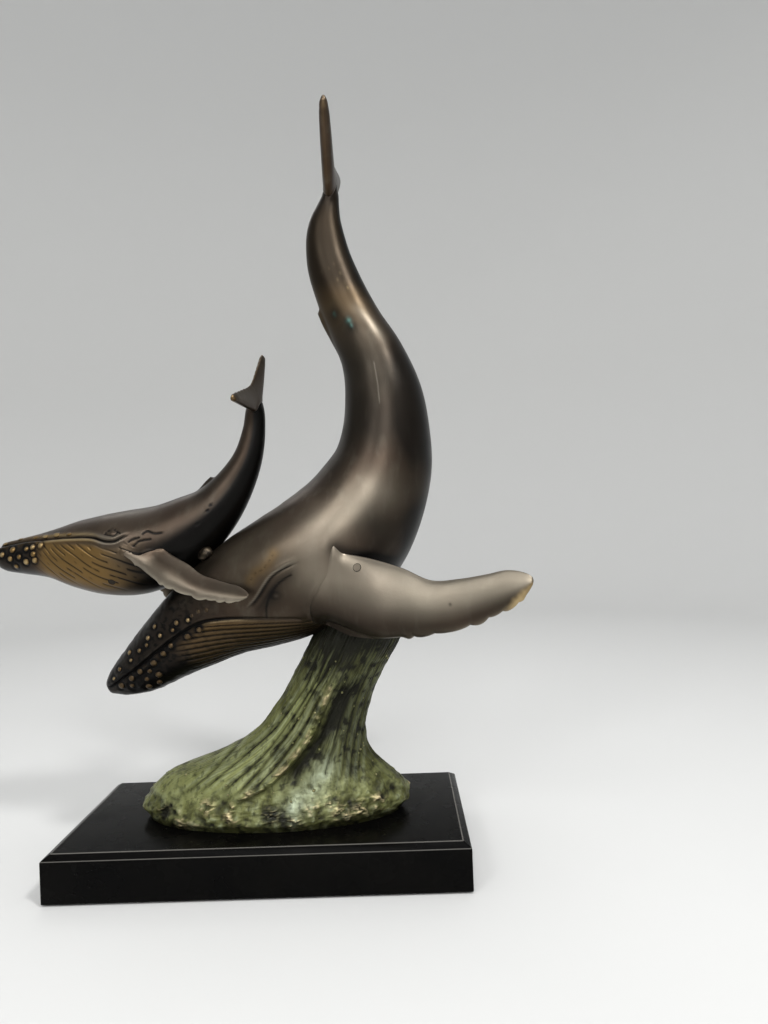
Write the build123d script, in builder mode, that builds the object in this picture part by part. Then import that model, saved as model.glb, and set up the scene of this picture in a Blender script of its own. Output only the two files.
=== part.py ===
from build123d import *
import os
from math import cos, pi, sin

os.makedirs("parts", exist_ok=True)

# A humpback whale and its calf, cast in bronze, on a cast wave that is bolted to a chamfered plinth.
# Millimetres. X runs from the heads to the tails, Y away from the viewer, Z up.
# The origin is under the middle of the plinth, on the surface that the felt rests on.

# Plinth and felt
PLINTH_LENGTH = 280.0
PLINTH_DEPTH = 136.0
PLINTH_HEIGHT = 31.0
CHAMFER_INSET = 5.2
CHAMFER_DROP = 3.3
FELT_THICKNESS = 1.2
FELT_INSET = 3.0

# Bolts that hold the wave from under the plinth
BOLT_SPACING = 110.0
BOLT_CENTRE_X = 5.0
BOLT_DIAMETER = 8.0
BOLT_HEAD_FLATS = 13.0
BOLT_HEAD_HEIGHT = 5.3
BOLT_REACH = 18.0
WASHER_DIAMETER = 17.0
WASHER_THICKNESS = 1.6
COUNTERBORE_GAP = 2.0
HEAD_COVER = 1.5
TAP_RUN_OUT = 3.0
HOLE_CLEARANCE = 0.5
THREAD_CLEARANCE = 0.1

# Wave stand: height of the mother's middle above the plinth, and the flutes that flow up it
WAVE_RISE = 185.0
FLUTES = 13
FLUTE_DEPTH = 1.7
POINTS_PER_FLUTE = 4
# Share of the rise, left edge, right edge and half depth of each level of the wave
WAVE_LEVELS = [
    (0.00, -88.0, 95.0, 42.0),
    (0.035, -92.0, 100.0, 44.5),
    (0.08, -91.0, 100.0, 42.0),
    (0.12, -84.0, 94.0, 38.0),
    (0.17, -71.0, 83.0, 34.5),
    (0.225, -42.0, 74.0, 32.0),
    (0.30, -14.0, 71.0, 30.0),
    (0.43, 9.0, 76.0, 28.0),
    (0.57, 25.0, 87.0, 27.5),
    (0.68, 36.0, 96.0, 28.0),
    (0.84, 52.0, 103.0, 27.0),
    (1.04, 66.0, 100.0, 24.0),
]

# Mother: centre line from snout to tail about the middle of the body, as X, Z, half depth, half width
MOTHER_X = 45.0
MOTHER_LINE = [
    (-163.4, -90.2, 2.6, 3.0),
    (-160.0, -89.4, 6.4, 6.6),
    (-154.0, -87.2, 10.8, 10.5),
    (-139.6, -79.0, 16.9, 17.0),
    (-118.2, -62.9, 23.3, 23.5),
    (-96.2, -47.5, 29.8, 29.5),
    (-73.5, -33.2, 36.0, 36.0),
    (-49.3, -21.8, 42.0, 41.5),
    (-24.2, -11.7, 46.3, 45.0),
    (0.0, 0.0, 48.6, 46.0),
    (20.0, 17.8, 46.6, 44.0),
    (35.2, 39.7, 42.0, 40.0),
    (46.0, 64.2, 36.7, 35.5),
    (49.7, 90.7, 32.0, 31.0),
    (48.4, 117.4, 28.3, 27.0),
    (41.8, 143.4, 23.6, 22.0),
    (30.4, 167.5, 20.4, 18.0),
    (19.9, 192.2, 18.6, 15.0),
    (12.2, 217.8, 16.4, 12.0),
    (11.0, 244.5, 11.8, 9.0),
    (13.4, 255.2, 8.4, 7.5),
    (16.4, 266.4, 5.2, 6.5),
]
# The mother's lower jaw hangs from these stations of that line: mouth level, lip, extra depth
MOTHER_JAW = [
    (1, 0.0, 0.8, 0.3),
    (2, 0.0, 1.2, 0.6),
    (3, 0.5, 1.6, 0.8),
    (4, 1.0, 1.8, 0.8),
    (5, 0.5, 1.7, 0.7),
    (6, -4.0, 1.5, 0.7),
    (7, -16.0, 1.3, 0.8),
    (8, -28.0, 0.9, 0.8),
    (9, -40.0, -3.0, -3.5),
]
# How far up the head the underside of the upper jaw lies, as a share of the half depth
UPPER_JAW_LIFT = 0.2
MOTHER_HEAD_STATIONS = 7
CALF_HEAD_STATIONS = 6

# Mother's dorsal fin: station of the line that it stands on, its length, height and thickness
MOTHER_FIN_STATION = 16
MOTHER_FIN_LENGTH = 34.0
MOTHER_FIN_HEIGHT = 4.2
MOTHER_FIN_THICKNESS = 5.0

# Calf: its middle from the mother's middle, and its centre line as X, Z, half depth, half width
CALF_X = -113.5
CALF_Z = 13.8
CALF_LINE = [
    (-129.4, -6.9, 2.6, 3.0),
    (-126.5, -6.8, 6.4, 7.0),
    (-121.0, -6.6, 10.0, 10.5),
    (-107.7, -6.5, 12.9, 14.5),
    (-85.9, -5.8, 17.9, 20.0),
    (-64.2, -6.7, 25.4, 26.0),
    (-42.4, -7.4, 30.0, 30.0),
    (-20.7, -6.0, 31.4, 31.0),
    (0.0, 0.0, 29.0, 28.0),
    (19.1, 10.6, 24.8, 23.0),
    (36.4, 23.8, 18.8, 17.5),
    (50.2, 40.7, 14.4, 12.5),
    (60.6, 59.8, 10.7, 9.5),
    (66.0, 81.0, 8.2, 7.0),
    (67.4, 98.0, 6.0, 6.0),
]
CALF_JAW = [
    (1, 1.0, 0.6, 0.2),
    (2, 5.0, 0.2, 0.3),
    (3, 7.5, -0.4, 0.5),
    (4, 10.0, -0.8, 0.5),
    (5, 13.0, -1.0, 0.5),
    (6, 11.5, 0.2, 0.5),
    (7, 3.5, 0.2, 0.4),
    (8, -8.0, -3.0, -3.0),
]
CALF_FIN_STATION = 10
CALF_FIN_SHIFT = 9.0
CALF_FIN_LENGTH = 22.0
CALF_FIN_HEIGHT = 2.6
CALF_FIN_THICKNESS = 3.2
CALF_FIN_SINK = 1.5

# Flippers: share of the span, then rise of the chord's middle, half chord, half thickness and how far
# the blade is drawn in to the body, as shares of the sizes below, from the root in the body to the tip
FLIPPER_LENGTH = 147.0
FLIPPER_HALF_CHORD = 27.5
FLIPPER_HALF_THICKNESS = 12.0
CALF_FLIPPER_LENGTH = 88.0
CALF_FLIPPER_HALF_CHORD = 13.5
CALF_FLIPPER_HALF_THICKNESS = 4.6
FLIPPER_SHAPE = [
    (-0.24, 0.22, 0.62, 0.90, 1.15),
    (-0.12, 0.13, 0.80, 1.00, 0.60),
    (0.00, 0.02, 0.95, 1.00, 0.25),
    (0.21, -0.18, 1.00, 0.86, 0.0),
    (0.42, -0.31, 0.82, 0.66, 0.0),
    (0.55, -0.41, 0.63, 0.54, 0.0),
    (0.68, -0.32, 0.57, 0.45, 0.0),
    (0.80, -0.16, 0.48, 0.37, 0.0),
    (0.91, 0.01, 0.36, 0.29, 0.0),
    (0.98, 0.04, 0.20, 0.20, 0.0),
    (1.00, 0.05, 0.08, 0.12, 0.0),
]
KNOBS = 7
KNOB_START = 0.46
KNOB_END = 0.95
KNOB_SINK = 0.92
KNOB_TAPER = 0.45
KNOB_RADIUS = 3.4
CALF_KNOB_RADIUS = 1.9
SPIGOT_SHARE = 0.12
SPIGOT_LENGTH = 14.0
SPIGOT_DIAMETER = 13.0
CALF_SPIGOT_LENGTH = 9.0
CALF_SPIGOT_DIAMETER = 6.0
SPIGOT_CLEARANCE = 0.15

# Flukes: share of the half span, leading edge, trailing edge and thickness as shares of chord and root
FLUKE_HALF_SPAN = 60.0
FLUKE_CHORD = 41.5
FLUKE_HALF_THICKNESS = 4.6
CALF_FLUKE_HALF_SPAN = 35.5
CALF_FLUKE_CHORD = 25.0
CALF_FLUKE_HALF_THICKNESS = 3.4
FLUKE_SHAPE = [
    (0.00, 0.00, 0.82, 1.00),
    (0.18, 0.07, 0.98, 0.88),
    (0.45, 0.34, 1.12, 0.66),
    (0.72, 0.66, 1.16, 0.50),
    (0.90, 0.89, 1.14, 0.36),
    (1.00, 1.01, 1.09, 0.20),
]
FLUKE_SEAT = 8.0
CALF_FLUKE_SEAT = 5.0

# Studs and beads that join the castings
STUD_DIAMETER = 9.0
STUD_REACH = 18.0
STUD_STATIONS = (8, 9)
CALF_SEAT = 6
CALF_STUD_DIAMETER = 6.0
CALF_STUD_REACH = 12.0
STUD_CLEARANCE = 0.1
BEAD_RADIUS = 6.5
BEAD_SIDE = 13.0
BEAD_RISE = 2.0
BEAD_ALONG = -9.0

# Round plugs that close the core holes: one in the mother's left flipper, one under the calf's throat
PLUG_DIAMETER = 5.6
PLUG_CLEARANCE = 0.05
FLIPPER_PLUG_SHARE = 0.2
FLIPPER_PLUG_CHORD = 0.55
THROAT_PLUG_STATION = 6
THROAT_PLUG_ALONG = 8.0
THROAT_PLUG_DROP = 0.62
THROAT_PLUG_SIDE = 0.6
PLUG_REACH = 30.0

# Places of the blades' roots from the middle of their whale, the way each blade runs, and the way its
# trailing edge faces
FLIPPER_ROOT = Vector(-1, -35, -22)
FLIPPER_ALONG = (0.947, -0.322, 0)
FLIPPER_TRAIL = (0.12, 0, 1)
FAR_FLIPPER_ROOT = Vector(-1, 35, -22)
FAR_FLIPPER_ALONG = (0.62, 0.74, -0.20)
FAR_FLIPPER_TRAIL = (0.25, 0, 1)
CALF_FLIPPER_ROOT = Vector(-12, -24, -6)
CALF_FLIPPER_ALONG = (0.86, -0.30, -0.39)
CALF_FLIPPER_TRAIL = (0.98, 0, 0.20)
CALF_FAR_FLIPPER_ROOT = Vector(-14, 24, -8)
CALF_FAR_FLIPPER_ALONG = (0.40, 0.32, -0.86)
CALF_FAR_FLIPPER_TRAIL = (0.92, 0, 0.40)
FLUKE_ALONG = (0.06, 0, 1)
FLUKE_ACROSS = (0, 1, 0)
CALF_FLUKE_SHIFT = Vector(2, 0, 2)
CALF_FLUKE_ALONG = (-0.12, -0.55, 0.82)
CALF_FLUKE_ACROSS = (0.17, 0.80, 0.59)

# Levels and middles that follow from the sizes above
plinth_top = FELT_THICKNESS + PLINTH_HEIGHT
mother_middle = Vector(MOTHER_X, 0, plinth_top + WAVE_RISE)
calf_middle = mother_middle + Vector(CALF_X, 0, CALF_Z)


def square_plane(origin, along, across):
    """A plane whose normal runs along one direction, with local X as near to another as that allows."""
    normal = Vector(along).normalized()
    across = Vector(across)
    return Plane(origin=origin, x_dir=across - normal * across.dot(normal), z_dir=normal)


def stations(line, middle):
    """Planes square to a centre line, with local X across the body and local Y to its back."""
    points = [middle + Vector(x, 0, z) for x, z, depth, width in line]
    planes = []
    for i, point in enumerate(points):
        ahead = points[min(i + 1, len(points) - 1)]
        behind = points[max(i - 1, 0)]
        planes.append(Plane(origin=point, x_dir=(0, 1, 0), z_dir=ahead - behind))
    return planes


def whale(line, jaw, planes, head_stations):
    """A whale's trunk and upper jaw, with the lower jaw hung under it as a second loft."""
    with BuildPart() as body:
        for i, (x, z, depth, width) in enumerate(line):
            lift = UPPER_JAW_LIFT * depth if 0 < i < head_stations else 0.0
            with BuildSketch(planes[i]):
                with Locations((0, lift)):
                    Ellipse(width, depth - lift)
        loft()
        for i, mouth, lip, extra in jaw:
            depth, width = line[i][2], line[i][3]
            half_width = width * (1 - (min(mouth, 0) / depth) ** 2) ** 0.5 + lip
            with BuildSketch(planes[i]):
                with BuildLine():
                    EllipticalCenterArc((0, mouth), half_width, depth + mouth + extra, 180, arc_size=180)
                    Line((half_width, mouth), (-half_width, mouth))
                make_face()
        loft()
    return body.part


def dorsal_fin(plane, depth, length, height, thickness):
    """A low hooked fin along the back, sunk a little into it."""
    with BuildPart() as fin:
        with BuildSketch(Plane(origin=plane.origin, x_dir=plane.z_dir, z_dir=-plane.x_dir)):
            with BuildLine():
                ridge = Spline((-length / 2, depth - height), (0, depth + height * 0.6),
                               (length / 4, depth + height), (length / 2, depth - height))
                Line(ridge @ 1, ridge @ 0)
            make_face()
        extrude(amount=thickness / 2, both=True)
    return fin.part


def pin(plane, radius, below, above):
    """A round pin on a plane's normal."""
    with BuildPart() as round_pin:
        with BuildSketch(plane.offset(-below)):
            Circle(radius)
        extrude(amount=below + above)
    return round_pin.part


def leading_edge(share):
    """Chord of a flipper's leading edge at a share of its span, a little inside the blade."""
    for near, far in zip(FLIPPER_SHAPE, FLIPPER_SHAPE[1:]):
        if near[0] <= share <= far[0]:
            part = (share - near[0]) / (far[0] - near[0])
            rise = near[1] + part * (far[1] - near[1])
            chord = near[2] + part * (far[2] - near[2])
            return rise - KNOB_SINK * chord


def flipper_blade(root, inward, length, half_chord, half_thickness, knob_radius):
    """A blade along the root plane's normal, with its leading edge down and knobs along that edge."""
    with BuildPart() as blade:
        for share, rise, chord, thickness, drawn_in in FLIPPER_SHAPE:
            middle = Vector(rise * half_chord, -inward * drawn_in * half_thickness, share * length)
            section = Plane(origin=root.from_local_coords(middle), x_dir=root.x_dir, z_dir=root.z_dir)
            with BuildSketch(section):
                Ellipse(chord * half_chord, thickness * half_thickness)
        loft()
        for i in range(KNOBS):
            share = KNOB_START + (KNOB_END - KNOB_START) * i / (KNOBS - 1)
            edge = Vector(leading_edge(share) * half_chord, 0, share * length)
            with Locations(root.from_local_coords(edge)):
                Sphere(knob_radius * (1 - KNOB_TAPER * i / (KNOBS - 1)))
    return blade.part


def fluke_blade(root, half_span, chord, half_thickness):
    """A tail fluke across the root plane's X, with its leading edge at the root and a notch behind."""
    shape = [(-s, lead, trail, t) for s, lead, trail, t in reversed(FLUKE_SHAPE[1:])] + FLUKE_SHAPE
    with BuildPart() as blade:
        for share, lead, trail, thickness in shape:
            middle = root.from_local_coords(Vector(share * half_span, 0, chord * (lead + trail) / 2))
            with BuildSketch(Plane(origin=middle, x_dir=root.z_dir, z_dir=root.x_dir)):
                Ellipse(chord * (trail - lead) / 2, thickness * half_thickness)
        loft()
    return blade.part


# Where the pieces of each whale are set on its line
mother_planes = stations(MOTHER_LINE, mother_middle)
calf_planes = stations(CALF_LINE, calf_middle)
left_root = square_plane(mother_middle + FLIPPER_ROOT, FLIPPER_ALONG, FLIPPER_TRAIL)
right_root = square_plane(mother_middle + FAR_FLIPPER_ROOT, FAR_FLIPPER_ALONG, FAR_FLIPPER_TRAIL)
calf_left_root = square_plane(calf_middle + CALF_FLIPPER_ROOT, CALF_FLIPPER_ALONG, CALF_FLIPPER_TRAIL)
calf_right_root = square_plane(calf_middle + CALF_FAR_FLIPPER_ROOT, CALF_FAR_FLIPPER_ALONG,
                               CALF_FAR_FLIPPER_TRAIL)
mother_tail, calf_tail = mother_planes[-1], calf_planes[-1]
fluke_root = square_plane(mother_tail.origin - mother_tail.z_dir * FLUKE_SEAT, FLUKE_ALONG, FLUKE_ACROSS)
calf_fluke_root = square_plane(calf_tail.origin - calf_tail.z_dir * CALF_FLUKE_SEAT + CALF_FLUKE_SHIFT,
                               CALF_FLUKE_ALONG, CALF_FLUKE_ACROSS)

# Whole outside forms of the two whales, which the pieces that meet them are cut to
mother_trunk = whale(MOTHER_LINE, MOTHER_JAW, mother_planes, MOTHER_HEAD_STATIONS)
mother_fin = dorsal_fin(mother_planes[MOTHER_FIN_STATION], MOTHER_LINE[MOTHER_FIN_STATION][2],
                        MOTHER_FIN_LENGTH, MOTHER_FIN_HEIGHT, MOTHER_FIN_THICKNESS)
calf_trunk = whale(CALF_LINE, CALF_JAW, calf_planes, CALF_HEAD_STATIONS)
calf_fin = dorsal_fin(calf_planes[CALF_FIN_STATION].offset(CALF_FIN_SHIFT),
                      CALF_LINE[CALF_FIN_STATION][2] - CALF_FIN_SINK,
                      CALF_FIN_LENGTH, CALF_FIN_HEIGHT, CALF_FIN_THICKNESS)

with BuildPart() as mother_form:
    add(mother_trunk)
    add(mother_fin)

with BuildPart() as calf_form:
    add(calf_trunk)
    add(calf_fin)
    add(mother_form.part, mode=Mode.SUBTRACT)

# Felt sheet under the plinth
with BuildPart() as felt_pad:
    with BuildSketch():
        Rectangle(PLINTH_LENGTH - 2 * FELT_INSET, PLINTH_DEPTH - 2 * FELT_INSET)
    extrude(amount=FELT_THICKNESS)
felt_pad.part.label = "felt_pad"
export_step(felt_pad.part, "parts/felt_pad.step")

# Bolt holes, counterbored from below so that heads and washers stay clear of the felt
bolt_xs = [BOLT_CENTRE_X - BOLT_SPACING / 2, BOLT_CENTRE_X + BOLT_SPACING / 2]
recess_depth = HEAD_COVER + BOLT_HEAD_HEIGHT + WASHER_THICKNESS
washer_level = FELT_THICKNESS + recess_depth - WASHER_THICKNESS
head_level = washer_level - BOLT_HEAD_HEIGHT

with BuildPart() as plinth:
    with BuildSketch(Plane.XY.offset(FELT_THICKNESS)):
        Rectangle(PLINTH_LENGTH, PLINTH_DEPTH)
    extrude(amount=PLINTH_HEIGHT)
    top_face = plinth.faces().sort_by(Axis.Z)[-1]
    chamfer(top_face.edges(), length=CHAMFER_INSET, length2=CHAMFER_DROP, reference=top_face)
    with Locations([Plane(origin=(x, 0, FELT_THICKNESS), z_dir=(0, 0, -1)) for x in bolt_xs]):
        CounterBoreHole(BOLT_DIAMETER / 2 + HOLE_CLEARANCE, WASHER_DIAMETER / 2 + COUNTERBORE_GAP, recess_depth)
plinth.part.label = "plinth"
export_step(plinth.part, "parts/plinth.step")

with BuildPart() as bolt_washers:
    with BuildSketch(Plane.XY.offset(washer_level)):
        with Locations([(x, 0) for x in bolt_xs]):
            Circle(WASHER_DIAMETER / 2)
            Circle(BOLT_DIAMETER / 2 + HOLE_CLEARANCE, mode=Mode.SUBTRACT)
    extrude(amount=WASHER_THICKNESS)
bolt_washers.part.label = "bolt_washers"
export_step(bolt_washers.part, "parts/bolt_washers.step")

with BuildPart() as stand_bolts:
    with BuildSketch(Plane.XY.offset(head_level)):
        with Locations([(x, 0) for x in bolt_xs]):
            RegularPolygon(BOLT_HEAD_FLATS / 2, 6, major_radius=False)
    extrude(amount=BOLT_HEAD_HEIGHT)
    with BuildSketch(Plane.XY.offset(head_level)):
        with Locations([(x, 0) for x in bolt_xs]):
            Circle(BOLT_DIAMETER / 2)
    extrude(amount=plinth_top + BOLT_REACH - head_level)
stand_bolts.part.label = "stand_bolts"
export_step(stand_bolts.part, "parts/stand_bolts.step")

# Studs from the wave into the mother's belly, and one from the mother's back into the calf
stud_planes = [Plane(origin=mother_planes[i].origin - mother_planes[i].y_dir * MOTHER_LINE[i][2],
                     x_dir=(0, 1, 0), z_dir=mother_planes[i].y_dir) for i in STUD_STATIONS]
seat_plane = mother_planes[CALF_SEAT]
calf_stud_plane = Plane(origin=seat_plane.origin + seat_plane.y_dir * MOTHER_LINE[CALF_SEAT][2],
                        x_dir=(0, 1, 0), z_dir=seat_plane.y_dir)
bore_reach = STUD_REACH + STUD_CLEARANCE
stud_bores = [pin(plane, STUD_DIAMETER / 2 + STUD_CLEARANCE, bore_reach, bore_reach) for plane in stud_planes]
calf_bore_reach = CALF_STUD_REACH + STUD_CLEARANCE
calf_stud_bore = pin(calf_stud_plane, CALF_STUD_DIAMETER / 2 + STUD_CLEARANCE, calf_bore_reach, calf_bore_reach)
studs = [pin(plane, STUD_DIAMETER / 2, STUD_REACH, STUD_REACH) for plane in stud_planes]

with BuildPart() as mother_studs:
    add(studs)
mother_studs.part.label = "mother_studs"
export_step(mother_studs.part, "parts/mother_studs.step")

with BuildPart() as calf_stud:
    add(pin(calf_stud_plane, CALF_STUD_DIAMETER / 2, CALF_STUD_REACH, CALF_STUD_REACH))
calf_stud.part.label = "calf_stud"
export_step(calf_stud.part, "parts/calf_stud.step")

# Wave stand: fluted levels lofted from the foot to the mother's belly, and cut to her form
with BuildPart() as wave_stand:
    for level, left, right, half_depth in WAVE_LEVELS:
        middle, half_length = (left + right) / 2, (right - left) / 2
        count = FLUTES * POINTS_PER_FLUTE
        outline = []
        for i in range(count):
            turn = 2 * pi * i / count
            swell = FLUTE_DEPTH * cos(FLUTES * turn)
            outline.append((middle + (half_length + swell) * cos(turn), (half_depth + swell) * sin(turn)))
        with BuildSketch(Plane.XY.offset(plinth_top + level * WAVE_RISE)):
            with BuildLine():
                Spline(*outline, periodic=True)
            make_face()
    loft()
    add(mother_form.part, mode=Mode.SUBTRACT)
    add(stud_bores, mode=Mode.SUBTRACT)
    with BuildSketch(Plane.XY.offset(plinth_top)):
        with Locations([(x, 0) for x in bolt_xs]):
            Circle(BOLT_DIAMETER / 2 + THREAD_CLEARANCE)
    extrude(amount=BOLT_REACH + TAP_RUN_OUT, mode=Mode.SUBTRACT)
wave_stand.part.label = "wave_stand"
export_step(wave_stand.part, "parts/wave_stand.step")

# Flippers, each cut to the flank that it is welded to and located by a cast spigot
mother_sizes = (FLIPPER_LENGTH, FLIPPER_HALF_CHORD, FLIPPER_HALF_THICKNESS, KNOB_RADIUS)
calf_sizes = (CALF_FLIPPER_LENGTH, CALF_FLIPPER_HALF_CHORD, CALF_FLIPPER_HALF_THICKNESS, CALF_KNOB_RADIUS)
flipper_rows = [
    ("mother_left_flipper", left_root, 1, mother_sizes, SPIGOT_DIAMETER, SPIGOT_LENGTH),
    ("mother_right_flipper", right_root, -1, mother_sizes, SPIGOT_DIAMETER, SPIGOT_LENGTH),
    ("calf_left_flipper", calf_left_root, 1, calf_sizes, CALF_SPIGOT_DIAMETER, CALF_SPIGOT_LENGTH),
    ("calf_right_flipper", calf_right_root, -1, calf_sizes, CALF_SPIGOT_DIAMETER, CALF_SPIGOT_LENGTH),
]
plug_place = left_root.from_local_coords(Vector(FLIPPER_PLUG_CHORD * FLIPPER_HALF_CHORD, 0,
                                                FLIPPER_PLUG_SHARE * FLIPPER_LENGTH))
flipper_plug_plane = Plane(origin=plug_place, z_dir=(0, -1, 0))
flipper_plug_hole = pin(flipper_plug_plane, PLUG_DIAMETER / 2 + PLUG_CLEARANCE, 0, PLUG_REACH)
sockets = {}
for name, root, inward, sizes, spigot, reach in flipper_rows:
    blade = flipper_blade(root, inward, *sizes)
    seat_place = root.origin + root.z_dir * SPIGOT_SHARE * sizes[0]
    seat = Plane(origin=seat_place, x_dir=(1, 0, 0), z_dir=(0, inward, 0))
    spigot_pin = pin(seat, spigot / 2, 0, reach)
    sockets[name] = pin(seat, spigot / 2 + SPIGOT_CLEARANCE, 0, reach + SPIGOT_CLEARANCE)
    with BuildPart() as flipper:
        add(blade)
        add(mother_form.part, mode=Mode.SUBTRACT)
        add(calf_form.part, mode=Mode.SUBTRACT)
        if root is left_root:
            add(flipper_plug_hole, mode=Mode.SUBTRACT)
            plugged_blade = blade
        add(spigot_pin)
    flipper.part.label = name
    export_step(flipper.part, f"parts/{name}.step")

with BuildPart() as flipper_plug:
    add(pin(flipper_plug_plane, PLUG_DIAMETER / 2, 0, PLUG_REACH))
    add(plugged_blade, mode=Mode.INTERSECT)
flipper_plug.part.label = "flipper_plug"
export_step(flipper_plug.part, "parts/flipper_plug.step")

with BuildPart() as mother_fluke:
    add(fluke_blade(fluke_root, FLUKE_HALF_SPAN, FLUKE_CHORD, FLUKE_HALF_THICKNESS))
    add(mother_form.part, mode=Mode.SUBTRACT)
mother_fluke.part.label = "mother_fluke"
export_step(mother_fluke.part, "parts/mother_fluke.step")

with BuildPart() as calf_fluke:
    add(fluke_blade(calf_fluke_root, CALF_FLUKE_HALF_SPAN, CALF_FLUKE_CHORD, CALF_FLUKE_HALF_THICKNESS))
    add(calf_form.part, mode=Mode.SUBTRACT)
calf_fluke.part.label = "calf_fluke"
export_step(calf_fluke.part, "parts/calf_fluke.step")

# Braze beads in the cleft where the calf lies on the mother's back
with BuildPart() as braze_beads:
    for side in (-BEAD_SIDE, BEAD_SIDE):
        with Locations(calf_stud_plane.from_local_coords(Vector(side, BEAD_ALONG, BEAD_RISE))):
            Sphere(BEAD_RADIUS)
    add(mother_form.part, mode=Mode.SUBTRACT)
    add(calf_form.part, mode=Mode.SUBTRACT)
braze_beads.part.label = "braze_beads"
export_step(braze_beads.part, "parts/braze_beads.step")

# The two bodies, bored for what they carry
with BuildPart() as mother_body:
    add(mother_form.part)
    add([sockets["mother_left_flipper"], sockets["mother_right_flipper"]], mode=Mode.SUBTRACT)
    add(stud_bores + [calf_stud_bore], mode=Mode.SUBTRACT)
mother_body.part.label = "mother_body"
export_step(mother_body.part, "parts/mother_body.step")

throat_depth, throat_width = CALF_LINE[THROAT_PLUG_STATION][2], CALF_LINE[THROAT_PLUG_STATION][3]
throat_place = Vector(-THROAT_PLUG_SIDE * throat_width, -THROAT_PLUG_DROP * throat_depth, THROAT_PLUG_ALONG)
throat_station = calf_planes[THROAT_PLUG_STATION]
throat_plug_plane = Plane(origin=throat_station.from_local_coords(throat_place), z_dir=(0, -1, 0))

with BuildPart() as calf_body:
    add(calf_form.part)
    add([sockets["calf_left_flipper"], sockets["calf_right_flipper"], calf_stud_bore], mode=Mode.SUBTRACT)
    add(pin(throat_plug_plane, PLUG_DIAMETER / 2 + PLUG_CLEARANCE, 0, PLUG_REACH), mode=Mode.SUBTRACT)
calf_body.part.label = "calf_body"
export_step(calf_body.part, "parts/calf_body.step")

with BuildPart() as throat_plug:
    add(pin(throat_plug_plane, PLUG_DIAMETER / 2, 0, PLUG_REACH))
    add(calf_form.part, mode=Mode.INTERSECT)
throat_plug.part.label = "throat_plug"
export_step(throat_plug.part, "parts/throat_plug.step")
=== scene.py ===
# %% [markdown]
# A humpback whale and its calf in cast bronze, on a green wave that is bolted to a black plinth.
# The solids come from the CAD model and give every place and size.
# This lesson dresses them: each casting gets a dense skin that can carry a mouth, pleats and creases.

# %% The frame
import math
from collections import namedtuple

import bmesh
import bpy
import numpy as np
from mathutils import Matrix, Vector, noise as relief
from mathutils.bvhtree import BVHTree


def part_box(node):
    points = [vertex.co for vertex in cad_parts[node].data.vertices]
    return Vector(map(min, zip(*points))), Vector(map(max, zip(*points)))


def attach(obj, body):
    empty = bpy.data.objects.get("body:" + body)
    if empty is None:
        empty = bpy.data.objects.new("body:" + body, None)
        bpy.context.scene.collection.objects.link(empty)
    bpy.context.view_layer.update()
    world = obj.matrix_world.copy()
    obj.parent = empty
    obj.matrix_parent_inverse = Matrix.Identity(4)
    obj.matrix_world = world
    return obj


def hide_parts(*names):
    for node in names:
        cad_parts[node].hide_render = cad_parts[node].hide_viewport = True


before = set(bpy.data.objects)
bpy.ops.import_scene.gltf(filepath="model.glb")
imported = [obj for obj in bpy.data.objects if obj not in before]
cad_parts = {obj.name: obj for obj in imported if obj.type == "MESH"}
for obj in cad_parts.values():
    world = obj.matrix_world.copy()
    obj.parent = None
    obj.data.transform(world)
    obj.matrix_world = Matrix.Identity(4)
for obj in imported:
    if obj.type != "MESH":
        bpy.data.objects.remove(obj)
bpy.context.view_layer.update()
scene = bpy.context.scene
MM = 0.001

# %% [markdown]
# The photograph was taken close up with a wide lens, so the near flipper looms and the plinth narrows.
# Its camera is set here by place and by the three directions of its picture: right, down and forward.
# A camera object looks along its own -Z with +Y up, so the columns of its matrix are right, -down, -forward.

# %% Camera
CAMERA_PLACE = Vector((98.1, -537.5, 245.7)) * MM
CAMERA_RIGHT = Vector((0.99916, 0.0137, -0.03863))
CAMERA_DOWN = Vector((-0.03866, 0.00182, -0.99925))
CAMERA_FORWARD = Vector((-0.01362, 0.9999, 0.00234))
LENS = 25.7

lens = bpy.data.cameras.new("photo_camera")
lens.lens = LENS
lens.sensor_width = 36.0
lens.clip_start = 0.01
camera = bpy.data.objects.new("photo_camera", lens)
turn = Matrix((CAMERA_RIGHT, -CAMERA_DOWN, -CAMERA_FORWARD)).transposed()
camera.matrix_world = Matrix.Translation(CAMERA_PLACE) @ turn.to_4x4()
scene.collection.objects.link(camera)
scene.camera = camera
scene.view_settings.view_transform = "Standard"
print("camera at", [round(c, 3) for c in camera.location])

# %% [markdown]
# A smooth body needs a smooth curve through a few given sections.
# A cubic that takes its slope at each section from the neighbours on both sides does that.

# %% Curves through chosen sections
def through(knots, values, at):
    """A smooth curve through values at knots, read at other places."""
    knots, values, at = np.asarray(knots, float), np.asarray(values, float), np.asarray(at, float)
    values = values.reshape(len(knots), -1)
    slopes = np.gradient(values, knots, axis=0)
    i = np.clip(np.searchsorted(knots, at) - 1, 0, len(knots) - 2)
    span = (knots[i + 1] - knots[i])[:, None]
    t = np.clip((at - knots[i])[:, None] / span, 0, 1)
    near = (1 + 2 * t) * (1 - t) ** 2 * values[i] + t * (1 - t) ** 2 * span * slopes[i]
    far = t * t * (3 - 2 * t) * values[i + 1] + t * t * (t - 1) * span * slopes[i + 1]
    return near + far


def ease(low, high, x):
    """Rises smoothly from 0 at low to 1 at high."""
    t = np.clip((x - low) / (high - low), 0, 1)
    return t * t * (3 - 2 * t)


def between(low, full, fall, high, x):
    """Rises from 0 at low to 1 at full, and drops from 1 at fall to 0 at high."""
    return ease(low, full, x) * (1 - ease(fall, high, x))


# %% [markdown]
# Every casting is a closed skin, so one helper makes them all: Blender's grid operator lays a flat sheet,
# each of its vertices is moved to a place on the form, and merging doubles closes the seam and the two ends.
# Painted marks ride along as vertex attributes, so the finish can follow the modelling.

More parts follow.
